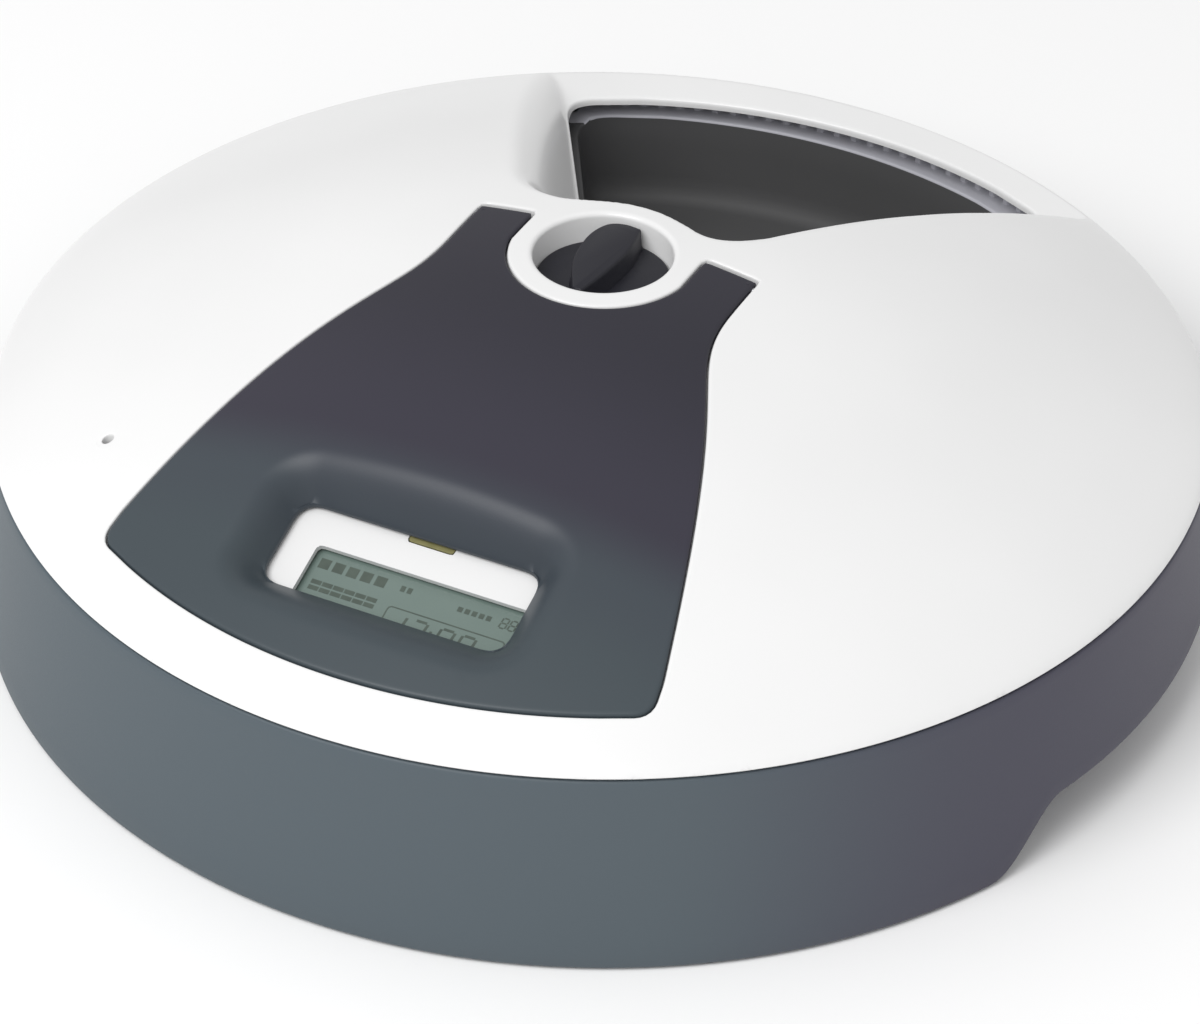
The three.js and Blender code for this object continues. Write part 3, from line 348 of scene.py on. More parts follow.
class Skin:
    """Points and faces gathered piece by piece."""

    def __init__(self):
        self.points = []
        self.faces = []

    def ring(self, points):
        first = len(self.points)
        self.points.extend(tuple(float(v) for v in p) for p in points)
        return list(range(first, len(self.points)))

    def band(self, ring, points):
        """A row of faces from a ring to new points, which become the next ring."""
        following = self.ring(points)
        for i in range(len(ring)):
            j = (i + 1) % len(ring)
            self.faces.append((ring[i], ring[j], following[j], following[i]))
        return following

    def bridge(self, ring, other):
        for i in range(len(ring)):
            j = (i + 1) % len(ring)
            self.faces.append((ring[i], ring[j], other[j], other[i]))

    def fill(self, ring):
        self.faces.append(tuple(ring))

    def sheet(self, outer, holes, steps, lift, fineness=None):
        """Triangles between outlines. steps are grid steps, coarsest first.

        fineness(points) picks one of them.
        """
        outlines = [outer, *holes]
        flat = np.vstack(outlines)
        for k, step in enumerate(steps):
            grid = grid_points(outer, step)
            level = fineness(grid) if fineness else np.zeros(len(grid), int)
            grid = grid[level == k]
            keep = inside(grid, outer)
            for hole in holes:
                keep &= ~inside(grid, hole)
            grid = grid[keep]
            rim = np.vstack(outlines)
            for block in range(0, len(grid), 2000):
                part = grid[block:block + 2000]
                gap = np.sqrt(((part[:, None, :] - rim[None, :, :]) ** 2).sum(axis=2)).min(axis=1)
                flat = np.vstack([flat, part[gap > 0.45 * step]])
        edges, start = [], 0
        for outline in outlines:
            count = len(outline)
            edges += [(start + i, start + (i + 1) % count) for i in range(count)]
            start += count
        result = delaunay_2d_cdt([Vector(p) for p in flat], edges, [], 0, 1e-9)
        corners, _, triangles, origin, _, _ = result
        corners = np.array([tuple(c) for c in corners])
        triangles = np.array([t for t in triangles if len(t) == 3])
        middle = corners[triangles].mean(axis=1)
        keep = inside(middle, outer)
        for hole in holes:
            keep &= ~inside(middle, hole)
        first = len(self.points)
        self.ring(lift(corners))
        self.faces.extend(tuple(int(first + v) for v in t) for t in triangles[keep])
        came_from = {old: new for new, olds in enumerate(origin) for old in olds}
        rings, start = [], 0
        for outline in outlines:
            rings.append([first + came_from[start + i] for i in range(len(outline))])
            start += len(outline)
        return rings

    def finish(self, name, material, wall=None, top_up=False, sharp=None):
        mesh = bpy.data.meshes.new(name)
        mesh.from_pydata(self.points, [], self.faces)
        work = bmesh.new()
        work.from_mesh(mesh)
        bmesh.ops.delete(work, geom=[v for v in work.verts if not v.link_faces], context="VERTS")
        bmesh.ops.recalc_face_normals(work, faces=work.faces)
        if top_up:
            highest = max(work.faces, key=lambda f: f.calc_area() * f.normal.z ** 2)
            if highest.normal.z < 0:
                bmesh.ops.reverse_faces(work, faces=work.faces)
        for face in work.faces:
            face.smooth = True
        work.to_mesh(mesh)
        work.free()
        thing = bpy.data.objects.new(name, mesh)
        bpy.context.collection.objects.link(thing)
        mesh.materials.append(material)
        if wall:
            shell = thing.modifiers.new("wall", "SOLIDIFY")
            shell.thickness = wall
            shell.offset = -1
            settle(thing)
        if sharp:
            mark_sharp(thing, sharp)
        return thing


def settle(thing):
    """Turns a piece with modifiers into a plain mesh."""
    view = bpy.context.evaluated_depsgraph_get()
    mesh = bpy.data.meshes.new_from_object(thing.evaluated_get(view))
    thing.modifiers.clear()
    thing.data = mesh


def mark_sharp(thing, degrees):
    """Edges that turn by more than this are drawn sharp."""
    limit = math.radians(degrees)
    work = bmesh.new()
    work.from_mesh(thing.data)
    for line in work.edges:
        line.smooth = len(line.link_faces) == 2 and line.calc_face_angle(0.0) < limit
    work.to_mesh(thing.data)
    work.free()


def place_piece(thing, body, slot_name, *nodes):
    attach(thing, body)
    if nodes:
        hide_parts(*nodes)
    print(thing.name, len(thing.data.polygons), "faces, on", body)


def smooth_max(a, b, blend):
    near = np.maximum(blend - np.abs(a - b), 0) / blend
    return np.maximum(a, b) + near * near * blend / 4


print("skin ready")

# %% [markdown]
# ## Dome lid
# The lid is one white moulding. Its dome is scooped out behind the knob, down to the hole that
# uncovers a compartment: steep cheeks with soft shoulders lean away from the hole, and a flat
# bright sill runs behind it to the rim. In front, a shallow bed holds the flap, and a flat deck
# in the bed holds the display. The whole outside is one function of the plan position, so the
# skin stays smooth where the scoop meets the dome.

# %% The dome and its scoop
CHEEK_RUN = 0.42
RIGHT_RUN = 0.22
NEAR_RUN = 0.10
SCOOP_NEAR_Y = 0.0207
SHOULDER = 0.0062
NEAR_SHOULDER = 0.0022
CORNER_BLEND = 0.013


def edge_curve(count=40):
    """The dome's turned-down edge as (distance along the skin, radius, height)."""
    t = np.linspace(0, 1, count)
    slope = -EDGE_START / DOME_CURVE
    start = np.array([EDGE_START, dome_z(EDGE_START)])
    corner = np.array([SEAM_RADIUS, start[1] + slope * (SEAM_RADIUS - EDGE_START)])
    end = np.array([SEAM_RADIUS, SEAM_Z + SEAM_GAP / 2 + 0.0004])
    points = np.outer((1 - t) ** 2, start) + np.outer(2 * t * (1 - t), corner) + np.outer(t * t, end)
    run = np.concatenate([[0], np.cumsum(np.linalg.norm(np.diff(points, axis=0), axis=1))])
    return EDGE_START + run, points[:, 0], points[:, 1]


EDGE = edge_curve()
SKIN_RADIUS = float(EDGE[0][-1])


def dome_point(flat):
    """Where the bare dome takes a point of the flat layout."""
    along = np.linalg.norm(flat, axis=1)
    radius = np.where(along < EDGE_START, along, np.interp(along, EDGE[0], EDGE[1]))
    height = np.where(along < EDGE_START, dome_z(along), np.interp(along, EDGE[0], EDGE[2]))
    share = radius / np.maximum(along, 1e-9)
    return flat[:, 0] * share, flat[:, 1] * share, height


def scoop_edge(x, y, top):
    """Distance outside the scoop's outline at the dome, its local run, and its shoulder."""
    lean = CHEEK_RUN + (RIGHT_RUN - CHEEK_RUN) * np.clip(x / 0.03, 0, 1)
    side = np.abs(x) * math.cos(HALF_OPENING) - y * math.sin(HALF_OPENING) - lean * (top - SILL_Z)
    near = smooth_max(SCOOP_NEAR_Y - y, HUB_RADIUS - np.hypot(x, y), 0.006)
    share = np.clip(0.5 + 0.5 * (near - side) / CORNER_BLEND, 0, 1)
    run = lean + (NEAR_RUN - lean) * share
    shoulder = SHOULDER + (NEAR_SHOULDER - SHOULDER) * share
    return smooth_max(side, near, CORNER_BLEND), run, shoulder


def lid_skin(flat):
    x, y, top = dome_point(flat)
    out, run, shoulder = scoop_edge(x, y, top)
    soft = (shoulder - out) ** 2 / (4 * shoulder)
    fall = np.where(out > shoulder, 0, np.where(out < -shoulder, -out, soft))
    room = np.maximum(top - SILL_Z, 0)
    drop = -smooth_max(-fall / run, -room, 0.0016)
    return np.stack([x, y, top - np.clip(drop, 0, None)], axis=1)


def lid_fineness(flat):
    x, y, top = dome_point(flat)
    out = scoop_edge(x, y, top)[0]
    cheek = (out < SHOULDER + 0.002) & (y > 0.012)
    near = cheek & (out < 0.004) & ((y < 0.040) | (x > 0.010))
    return np.where(near, 2, np.where(cheek | (np.linalg.norm(flat, axis=1) > EDGE_START - 0.002), 1, 0))


print("skin radius", round(SKIN_RADIUS, 4))

# %% [markdown]
# ## Outlines on the lid
# The flap's outline is a bell: two horns beside the knob, sides that sweep outwards, and a front
# arc that follows the rim. The lid's bed has the same outline with a hair's gap round it.

# %% Outlines on the lid
HORN = (0.024, 0.0384, 0.0085)
FLAP_NOTCH = 0.0244
FLAP_FRONT = 0.1414
FLAP_GAP = 0.00045


def bezier(a, b, c, d, steps):
    t = np.linspace(0, 1, steps)[:, None]
    a, b, c, d = (np.asarray(p, float) for p in (a, b, c, d))
    return (1 - t) ** 3 * a + 3 * t * (1 - t) ** 2 * b + 3 * t * t * (1 - t) * c + t ** 3 * d


SIDE = bezier((HORN[1], -0.008), (HORN[1], -0.036), (0.052, -0.0297), (0.0742, -0.122), 60)


def flap_outline():
    inner, outer, end_y = HORN
    side = SIDE[SIDE[:, 1] > -0.113]
    angle = np.radians(np.linspace(-90 + 27.3, -90, 30))
    front = FLAP_FRONT * np.stack([np.cos(angle), np.sin(angle)], axis=1)
    corner = softened([side[-1], (0.0732, -0.1212), front[0]], 0.009, 10)[10:20]
    top = softened([(inner, end_y), (outer, end_y), tuple(side[0])], (0, 0.0006, 0), 4)[4:8]
    notch_half = math.asin(inner / FLAP_NOTCH)
    notch = np.linspace(-math.pi / 2 + notch_half, -math.pi / 2, 24)
    notch = FLAP_NOTCH * np.stack([np.cos(notch), np.sin(notch)], axis=1)
    horn = np.array([(inner, end_y - 0.0006), (inner + 0.0006, end_y)])
    right = np.vstack([notch[::-1], horn, top, side, corner, front[1:]])
    left = right[::-1][1:-1] * (-1, 1)
    return np.vstack([right, left])[::-1]


def opening_outline():
    """The hole over one compartment: hub arc, two straight sides and the back arc."""
    shift, radius, near = 0.0044, 0.1413, 0.0292
    lean = math.sqrt(radius ** 2 - (shift * math.cos(HALF_OPENING)) ** 2)
    turns = np.linspace(-HALF_OPENING, HALF_OPENING, 16)
    hub = [(near * math.sin(a), near * math.cos(a)) for a in turns]
    ends = []
    for sign in (1, -1):
        reach = lean + sign * shift * math.sin(HALF_OPENING)
        ends.append((sign * reach * math.sin(HALF_OPENING), reach * math.cos(HALF_OPENING)))
    turn = [math.atan2(x - shift, y) for x, y in ends]
    spare = 0.022 / radius
    back = [(shift + radius * math.sin(a), radius * math.cos(a))
            for a in np.linspace(turn[0] - spare, turn[1] + spare, 40)]
    corners = [*hub, ends[0], *back, ends[1]]
    radii = [0.002, *[0.0] * 14, 0.002, 0.010, *[0.0] * len(back), 0.010]
    return softened(corners, radii, 8)


flap_edge = resampled(flap_outline(), 0.0013)
opening = resampled(opening_outline(), 0.0012)
print("flap outline", len(flap_edge), "opening", len(opening))

# %% [markdown]
# ## The bed and its deck
# The bed's floor follows the dome, a flap's thickness under it. Below the window it drops to the
# flat deck, which leans with the display, and round the hinge it is hollowed so that the horns'
# ends can turn.

# %% Panel places and the bed's floor
PANEL_U = np.array([1.0, 0.0, 0.0])
PANEL_V = np.array([0.0, math.cos(PANEL_TILT), math.sin(PANEL_TILT)])
PANEL_N = np.array([0.0, -math.sin(PANEL_TILT), math.cos(PANEL_TILT)])
DECK_MARGIN = 0.006
DECK_START = -0.044
DECK_STEP = 0.0014
DECK_LOW = 0.0562
SWING = 0.0042
HORN_ROOM = 0.0010


def on_panel(outline, w):
    """Points of a panel outline, w out of the panel."""
    outline = np.asarray(outline, float)
    return PANEL_ORIGIN + outline[:, :1] * PANEL_U + outline[:, 1:2] * PANEL_V + w * PANEL_N


def deck_depth(x, y):
    """Distance inside the deck's outline."""
    half = np.interp(-y, -SIDE[:, 1], SIDE[:, 0])
    side = np.minimum(half - DECK_MARGIN - np.abs(x), FLAP_FRONT - DECK_MARGIN - np.hypot(x, y))
    return np.minimum(side, DECK_START - y)


def bed_floor(flat):
    x, y = flat[:, 0], flat[:, 1]
    radius = np.hypot(x, y)
    bed = dome_z(radius) - BED_DEPTH
    away = DECK_W + math.sin(PANEL_TILT) * (y - PANEL_ORIGIN[1])
    plane = PANEL_ORIGIN[2] + away / math.cos(PANEL_TILT)
    t = np.clip(deck_depth(x, y) / DECK_STEP, 0, 1)
    t = t * t * (3 - 2 * t)
    z = bed + t * (np.minimum(bed, np.maximum(plane, DECK_LOW)) - bed)
    away = np.clip(SWING ** 2 - (y - HINGE[0]) ** 2, 0, None)
    z = np.where((away > 0) & (np.abs(x) > 0.022), np.minimum(z, HINGE[1] - np.sqrt(away)), z)
    return np.stack([x, y, z], axis=1)


def bed_fineness(flat):
    x, y = flat[:, 0], flat[:, 1]
    at_step = np.abs(deck_depth(x, y) - DECK_STEP / 2) < 0.0022
    return np.where(at_step | (y > 0.001), 1, 0)


print("deck leans", round(math.degrees(PANEL_TILT), 1), "degrees")

# %% The lid
MIC = (-0.0888, -0.0928)
MIC_RADIUS = 0.0015
BUTTON_COUNT = 5
BUTTON_PITCH = 0.017
BUTTON_RADIUS = 0.005
BUTTON_V = 0.028
LENS_PLACE = (0.002, 0.0122)
LCD_SIZE = (0.060, 0.0225)
LCD_PLACE = (0.0043, -0.007)
LCD_LIP = 0.0015
QUARTER = np.linspace(0, math.pi / 2, 5)
MARGIN = 0.0005
BED_EDGE = 0.0007
KNOB_EDGE = 0.0014
MIC_EDGE = 0.0004
LID_SKIN = 0.0014


def button_u(i):
    return (i - (BUTTON_COUNT - 1) / 2) * BUTTON_PITCH


def wall_z(y):
    """How low the wall round the opening reaches."""
    t = np.clip((y - 0.112) / 0.006, 0, 1)
    return COLLAR_Z + 0.0017 * t * t * (3 - 2 * t)


def at_height(outline, z):
    return np.column_stack([outline, np.broadcast_to(z, len(outline))])


def on_dome(outline, lower=0.0):
    return at_height(outline, dome_z(np.hypot(outline[:, 0], outline[:, 1])) - lower)


def roll_in(skin, ring, outline, radius, sign, lift):
    """Rounds an edge: from a ring that lies `radius` beyond the outline to the outline itself."""
    for a in QUARTER[1:]:
        off = sign * radius * (1 - math.sin(a))
        ring = skin.band(ring, lift(grown(outline, off), radius * (1 - math.cos(a))))
    return ring


def build_lid():
    skin = Skin()
    bed_wall = grown(flap_edge, FLAP_GAP)
    bed_wall[:, 1] += HORN_ROOM * np.clip((bed_wall[:, 1] - 0.004) / 0.004, 0, 1)
    knob_wall, mic_wall = circle(KNOB_RECESS, 0.0012), circle(MIC_RADIUS, 0.0005, *MIC)
    rims = [grown(bed_wall, BED_EDGE + MARGIN), opening, grown(knob_wall, KNOB_EDGE + MARGIN),
            grown(mic_wall, MIC_EDGE)]
    rim, bed, hole, knob, mic = skin.sheet(circle(SKIN_RADIUS, 0.0016), rims, (0.0026, 0.0013, 0.0007),
                                           lid_skin, lid_fineness)
    flat_rim = circle(SEAM_RADIUS, 0.0016 * SEAM_RADIUS / SKIN_RADIUS)
    skin.band(rim, at_height(flat_rim * (1 - 0.0003 / SEAM_RADIUS), SEAM_Z + SEAM_GAP / 2))
    bed = skin.band(bed, on_dome(grown(bed_wall, BED_EDGE)))
    bed = roll_in(skin, bed, bed_wall, BED_EDGE, 1, on_dome)
    top = np.array([skin.points[i] for i in hole])
    for inwards, lower in ((0.0002, 0.0001), (0.0005, 0.0005), (0.0006, 0.0012)):
        hole = skin.band(hole, at_height(grown(opening, -inwards), top[:, 2] - lower))
    hole = skin.band(hole, at_height(grown(opening, -0.0006), wall_z(opening[:, 1])))
    knob = skin.band(knob, on_dome(grown(knob_wall, KNOB_EDGE)))
    knob = roll_in(skin, knob, knob_wall, KNOB_EDGE, 1, on_dome)
    for radius, fall in ((KNOB_RECESS, 0.0030), (KNOB_RECESS - 0.0006, 0.0036), (0.0062, 0.0036)):
        knob = skin.band(knob, at_height(knob_wall * radius / KNOB_RECESS, KNOB_FLOOR - fall))
    mic = roll_in(skin, mic, mic_wall, MIC_EDGE, 1, on_dome)
    skin.band(mic, on_dome(mic_wall, 0.0026))
    lcd = rounded_box(LCD_SIZE[0] - 2 * LCD_LIP, LCD_SIZE[1] - 2 * LCD_LIP, 0.0015, *LCD_PLACE)
    lens = rounded_box(0.0126, 0.003, 0.0008, *LENS_PLACE)
    rings = [circle(BUTTON_RADIUS + 0.0004, 0.0009, button_u(i), BUTTON_V) for i in range(BUTTON_COUNT)]
    holes = [on_panel(resampled(o, 0.001), DECK_W)[:, :2] for o in (lcd, lens, *rings)]
    floor = skin.sheet(bed_wall, holes, (0.003, 0.0011), bed_floor, bed_fineness)
    skin.bridge(bed, floor[0])
    return skin.finish("dome_lid", white, wall=LID_SKIN, top_up=True, sharp=50)


lid = build_lid()
place_piece(lid, "lid", "lid_white", "lid_shell")

# %% [markdown]
# ## Cover flap
# The flap is a dark skin that continues the dome. Its window sits at the bottom of a funnel with
# soft shoulders, sunk along the panel's normal. Two barrels under the horns turn on steel pins.

# %% The cover flap
FUNNEL_RUN = 0.83
FUNNEL_SHOULDER = 0.0046
WINDOW_CORNER = 0.0036


def window_distance(u, v):
    """Distance outside the window's rounded rectangle."""
    a = np.abs(u) - (WINDOW[0] / 2 - WINDOW_CORNER)
    b = np.abs(v) - (WINDOW[1] / 2 - WINDOW_CORNER)
    return np.hypot(np.maximum(a, 0), np.maximum(b, 0)) + np.minimum(np.maximum(a, b), 0) - WINDOW_CORNER


def flap_skin(flat):
    points = on_dome(flat)
    away = points - PANEL_ORIGIN
    u, v, w = away @ PANEL_U, away @ PANEL_V, away @ PANEL_N
    out = window_distance(u, v) - FUNNEL_RUN * w
    soft = (FUNNEL_SHOULDER - out) ** 2 / (4 * FUNNEL_SHOULDER)
    fall = np.where(out > FUNNEL_SHOULDER, 0, np.where(out < -FUNNEL_SHOULDER, -out, soft))
    return points - (fall / FUNNEL_RUN)[:, None] * PANEL_N


def flap_fineness(flat):
    away = on_dome(flat) - PANEL_ORIGIN
    out = window_distance(away @ PANEL_U, away @ PANEL_V) - FUNNEL_RUN * (away @ PANEL_N)
    return np.where(out < FUNNEL_SHOULDER + 0.001, 1, 0)


def lifted_to_dome(outline):
    """Plan places where a panel outline, moved along the panel's normal, meets the dome."""
    w = np.full(len(outline), 0.011)
    for _ in range(8):
        points = on_panel(outline, 0) + w[:, None] * PANEL_N
        w = w - (points[:, 2] - dome_z(np.hypot(points[:, 0], points[:, 1])))
    return (on_panel(outline, 0) + w[:, None] * PANEL_N)[:, :2]


def tube_along_x(skin, x0, x1, outer, inner, count=28):
    angle = np.arange(count) * 2 * math.pi / count

    def ring(x, radius):
        y, z = HINGE[0] + radius * np.cos(angle), HINGE[1] + radius * np.sin(angle)
        return np.stack([np.full(count, x), y, z], axis=1)

    first = skin.ring(ring(x0, inner))
    last = first
    edge = 0.0002
    for x, radius in ((x0, outer - edge), (x0 + edge, outer), (x1 - edge, outer), (x1, outer - edge),
                      (x1, inner)):
        last = skin.band(last, ring(x, radius))
    skin.bridge(last, first)


def build_flap():
    skin = Skin()
    edge = 0.0006
    window = resampled(rounded_box(*WINDOW, WINDOW_CORNER * 1.6), 0.0009)
    mouth = grown(window, 0.0005)
    outer, hole = skin.sheet(grown(flap_edge, -edge - MARGIN), [lifted_to_dome(mouth)], (0.0026, 0.0012),
                             flap_skin, flap_fineness)
    outer = skin.band(outer, on_dome(grown(flap_edge, -edge)))
    outer = roll_in(skin, outer, flap_edge, edge, -1, on_dome)
    skin.band(outer, on_dome(flap_edge, 0.0021))
    for out, w in ((0.0002, 0.0002), (0.0, -0.0001), (0.0, -0.0012)):
        hole = skin.band(hole, on_panel(grown(window, out), w))
    flap = skin.finish("cover_flap", flap_finish, wall=0.0017, top_up=True, sharp=50)
    barrels = Skin()
    for side in (-1, 1):
        x0, x1 = sorted((side * 0.0254, side * 0.0374))
        tube_along_x(barrels, x0, x1, 0.0020, 0.0012)
    return joined(flap, barrels.finish("barrels", flap_finish, sharp=40))


def joined(first, *others):
    """One mesh out of several pieces."""
    work = bmesh.new()
    for thing in (first, *others):
        work.from_mesh(thing.data)
    work.to_mesh(first.data)
    work.free()
    for thing in others:
        bpy.data.objects.remove(thing)
    return first


flap_finish = blended("flap_dark", "Y", (
    (-0.118, (0.042, 0.056, 0.066)), (-0.098, (0.040, 0.051, 0.063)),
    (-0.078, (0.027, 0.025, 0.040)), (-0.020, (0.015, 0.014, 0.024))), (0.38, 0.48), 0.08)
place_piece(build_flap(), "flap", "flap_dark", "display_cover")

# %% [markdown]
# ## Copies round a circle
# The feet, the ribs under the floor and the tray's gear teeth all repeat round the feeder's axis.
# One small tree makes them: it turns copies of the modelled piece about the axis, one step apart.

# %% A tree that repeats a piece round the axis


def ring_tree():
    tree = bpy.data.node_groups.new("copies_round_axis", "GeometryNodeTree")
    face = tree.interface
    face.new_socket("Geometry", in_out="INPUT", socket_type="NodeSocketGeometry")
    sizes = {}
    for label, kind in (("Count", "NodeSocketInt"), ("First angle", "NodeSocketFloat"),
                        ("Finish", "NodeSocketMaterial")):
        sizes[label] = face.new_socket(label, in_out="INPUT", socket_type=kind).identifier
    face.new_socket("Geometry", in_out="OUTPUT", socket_type="NodeSocketGeometry")
    nodes, links = tree.nodes, tree.links
    given, result = nodes.new("NodeGroupInput"), nodes.new("NodeGroupOutput")
    points = nodes.new("GeometryNodePoints")
    links.new(given.outputs["Count"], points.inputs["Count"])
    step = nodes.new("ShaderNodeMath")
    step.operation = "DIVIDE"
    step.inputs[0].default_value = 2 * math.pi
    links.new(given.outputs["Count"], step.inputs[1])
    angle = nodes.new("ShaderNodeMath")
    angle.operation = "MULTIPLY_ADD"
    links.new(nodes.new("GeometryNodeInputIndex").outputs["Index"], angle.inputs[0])
    links.new(step.outputs["Value"], angle.inputs[1])
    links.new(given.outputs["First angle"], angle.inputs[2])
    turn = nodes.new("ShaderNodeCombineXYZ")
    links.new(angle.outputs["Value"], turn.inputs["Z"])
    copies = nodes.new("GeometryNodeInstanceOnPoints")
    links.new(points.outputs["Points"], copies.inputs["Points"])
    links.new(given.outputs["Geometry"], copies.inputs["Instance"])
    links.new(turn.outputs["Vector"], copies.inputs["Rotation"])
    real = nodes.new("GeometryNodeRealizeInstances")
    links.new(copies.outputs["Instances"], real.inputs["Geometry"])
    paint = nodes.new("GeometryNodeSetMaterial")
    links.new(real.outputs["Geometry"], paint.inputs["Geometry"])
    links.new(given.outputs["Finish"], paint.inputs["Material"])
    links.new(paint.outputs["Geometry"], result.inputs["Geometry"])
    return tree, sizes


RING, RING_SIZES = ring_tree()


def repeated(thing, count, first_angle=0.0):
    """The piece copied round the Z axis, as a plain mesh."""
    modifier = thing.modifiers.new("copies", "NODES")
    modifier.node_group = RING
    modifier[RING_SIZES["Count"]] = count
    modifier[RING_SIZES["First angle"]] = first_angle
    modifier[RING_SIZES["Finish"]] = thing.data.materials[0]
    settle(thing)
    return thing


def turned(name, profile, finish, count=96, cx=0.0, cy=0.0, sharp=35):
    """A closed profile of (radius, height) turned about a vertical line. Radius 0 closes on the line."""
    skin = Skin()
    unit = circle(1.0, 2 * math.pi / count)
    solid = profile[0][0] == 0
    rings = [p for p in profile if p[0] > 0]
    first = skin.ring(at_height(unit * rings[0][0] + (cx, cy), rings[0][1]))
    last = first
    for radius, z in rings[1:]:
        last = skin.band(last, at_height(unit * radius + (cx, cy), z))
    if solid:
        skin.fill(first)
        skin.fill(last)
    else:
        skin.bridge(last, first)
    return skin.finish(name, finish, sharp=sharp)


print("ring tree inputs", RING_SIZES)

# %% [markdown]
# ## Base
# The base is a slate tub with a wall that leans inwards. On each side its lower edge rises in a
# soft S to make a hand hold, so the wall is built column by column, each from its own lowest point.
# Every edge is rounded. A floor plate, ribs and four rubber feet finish the underside.

# %% The base
BASE_WALL = 0.0026
FOOT_PROUD = 0.0005
FLOOR_TOP = 0.0195
FLOOR_UNDER = 0.0171
GRIP_HEIGHT = 0.0156
GRIP_HALF = 27.5
GRIP_RISE = 8.5
FOOT_PITCH = 0.134


def wall_radius(z):
    return BASE_RADIUS + (SEAM_RADIUS - BASE_RADIUS) * z / SEAM_Z


def grip_rise(angle):
    """Height of the hand hold at an angle in degrees from +X."""
    from_side = np.minimum(np.abs(angle), 180 - np.abs(angle))
    t = np.clip((GRIP_HALF - from_side) / GRIP_RISE, 0, 1)
    return GRIP_HEIGHT * t * t * (3 - 2 * t)


def base_wall():
    skin = Skin()
    angle = np.arange(-180, 180, 0.6)
    low = FOOT_PROUD + grip_rise(angle)
    top = SEAM_Z - SEAM_GAP / 2
    unit = np.stack([np.cos(np.radians(angle)), np.sin(np.radians(angle))], axis=1)

    def ring(inwards, z):
        z = np.broadcast_to(z, len(angle))
        return at_height(unit * (wall_radius(z) - inwards)[:, None], z)

    first = skin.ring(ring(BASE_WALL, low + 0.0005))
    last = first
    for inwards, rise in ((BASE_WALL - 0.0005, 0), (0.0011, 0), (0.0006, 0.0002), (0.0002, 0.0006),
                          (0, 0.0012)):
        last = skin.band(last, ring(inwards, low + rise))
    for share in (0.1, 0.25, 0.5, 0.75, 0.95):
        last = skin.band(last, ring(0, low + 0.0012 + share * (top - 0.0024 - low)))
    for inwards, fall in ((0, 0.0008), (0.0002, 0.0003), (0.0006, 0.0), (BASE_WALL - 0.0004, 0),
                          (BASE_WALL, 0.0004)):
        last = skin.band(last, ring(inwards, top - fall))
    last = skin.band(last, ring(BASE_WALL, FLOOR_TOP + 0.006))
    skin.bridge(last, first)
    return skin.finish("base_body", slate, sharp=40)


def rib():
    skin = Skin()
    half, low, high = 0.001, 0.0101, FLOOR_UNDER + 0.0005
    corners = np.array([(0.026, -half), (0.126, -half), (0.126, half), (0.026, half)])
    first = skin.ring(at_height(corners, low))
    skin.fill(first)
    skin.fill(skin.band(first, at_height(corners, high)))
    return repeated(skin.finish("ribs", slate, sharp=30), 6)


def build_base():
    floor_radius = float(wall_radius(FLOOR_TOP)) - BASE_WALL / 2
    floor = turned("floor_plate", [(0, FLOOR_UNDER), (floor_radius, FLOOR_UNDER),
                                   (floor_radius, FLOOR_TOP), (0, FLOOR_TOP)], slate)
    low, high = FLOOR_TOP - 0.001, FLOOR_TOP + 0.0007
    track = turned("track", [(0.117, low), (0.120, low), (0.120, high - 0.0002), (0.1197, high),
                             (0.1173, high), (0.117, high - 0.0002)], slate)
    high = FLOOR_UNDER + 0.0005
    drop = turned("drop_ring", [(0.126, high), (0.126, 0.0063), (0.1263, 0.006), (0.1279, 0.006),
                                (0.1282, 0.0063), (0.1282, high)], slate)
    low, high = FOOT_PROUD, FLOOR_UNDER + 0.0004
    boss = turned("bosses", [(0.0093, low + 0.0003), (0.0096, low), (0.0107, low), (0.011, low + 0.0003),
                             (0.011, high), (0.0093, high)], slate, 40, FOOT_PITCH)
    boss = repeated(boss, 4, math.pi / 4)
    return joined(base_wall(), floor, track, drop, boss, rib())


place_piece(build_base(), "base", "base_slate", "base_shell")
foot = turned("feet", [(0, 0.0), (0.0072, 0.0), (0.0084, 0.0003), (0.009, 0.001), (0.009, 0.0022),
                       (0, 0.0022)], rubber, 40, FOOT_PITCH, sharp=50)
feet = repeated(foot, 4, math.pi / 4)
place_piece(feet, "base", "foot_rubber", "foot_1", "foot_2", "foot_3", "foot_4")

# %% [markdown]
# ## Food tray
# The tray is one charcoal moulding with six pockets. Each pocket's outline goes down in rings: a
# rounded brim, a wall with a little draft and a wide fillet into the floor. Outside the pockets a
# flat rim carries the toothed wall that the drive's pinion turns.

# %% The food tray
CAVITY_RADIUS = 0.1422
TRAY_RADIUS = 0.1512
RIM_START = 0.1392
RIM_Z = 0.0485
DIVIDER_TOP = 0.0475
TRAY_BOTTOM = 0.0205
TRAY_FLOOR = 0.0227
GEAR_TOP = 0.0519
GEAR_ROOT = 0.1497
GEAR_TIP = 0.1469
TEETH = 180
POCKETS = 6
DIVIDER = 0.0026
POCKET_EDGE = 0.0007
BORE = 0.0128


def tray_top(flat):
    radius = np.linalg.norm(flat, axis=1)
    t = np.clip((radius - RIM_START) / 0.0012, 0, 1)
    return at_height(flat, DIVIDER_TOP + (RIM_Z - DIVIDER_TOP) * t * t * (3 - 2 * t))


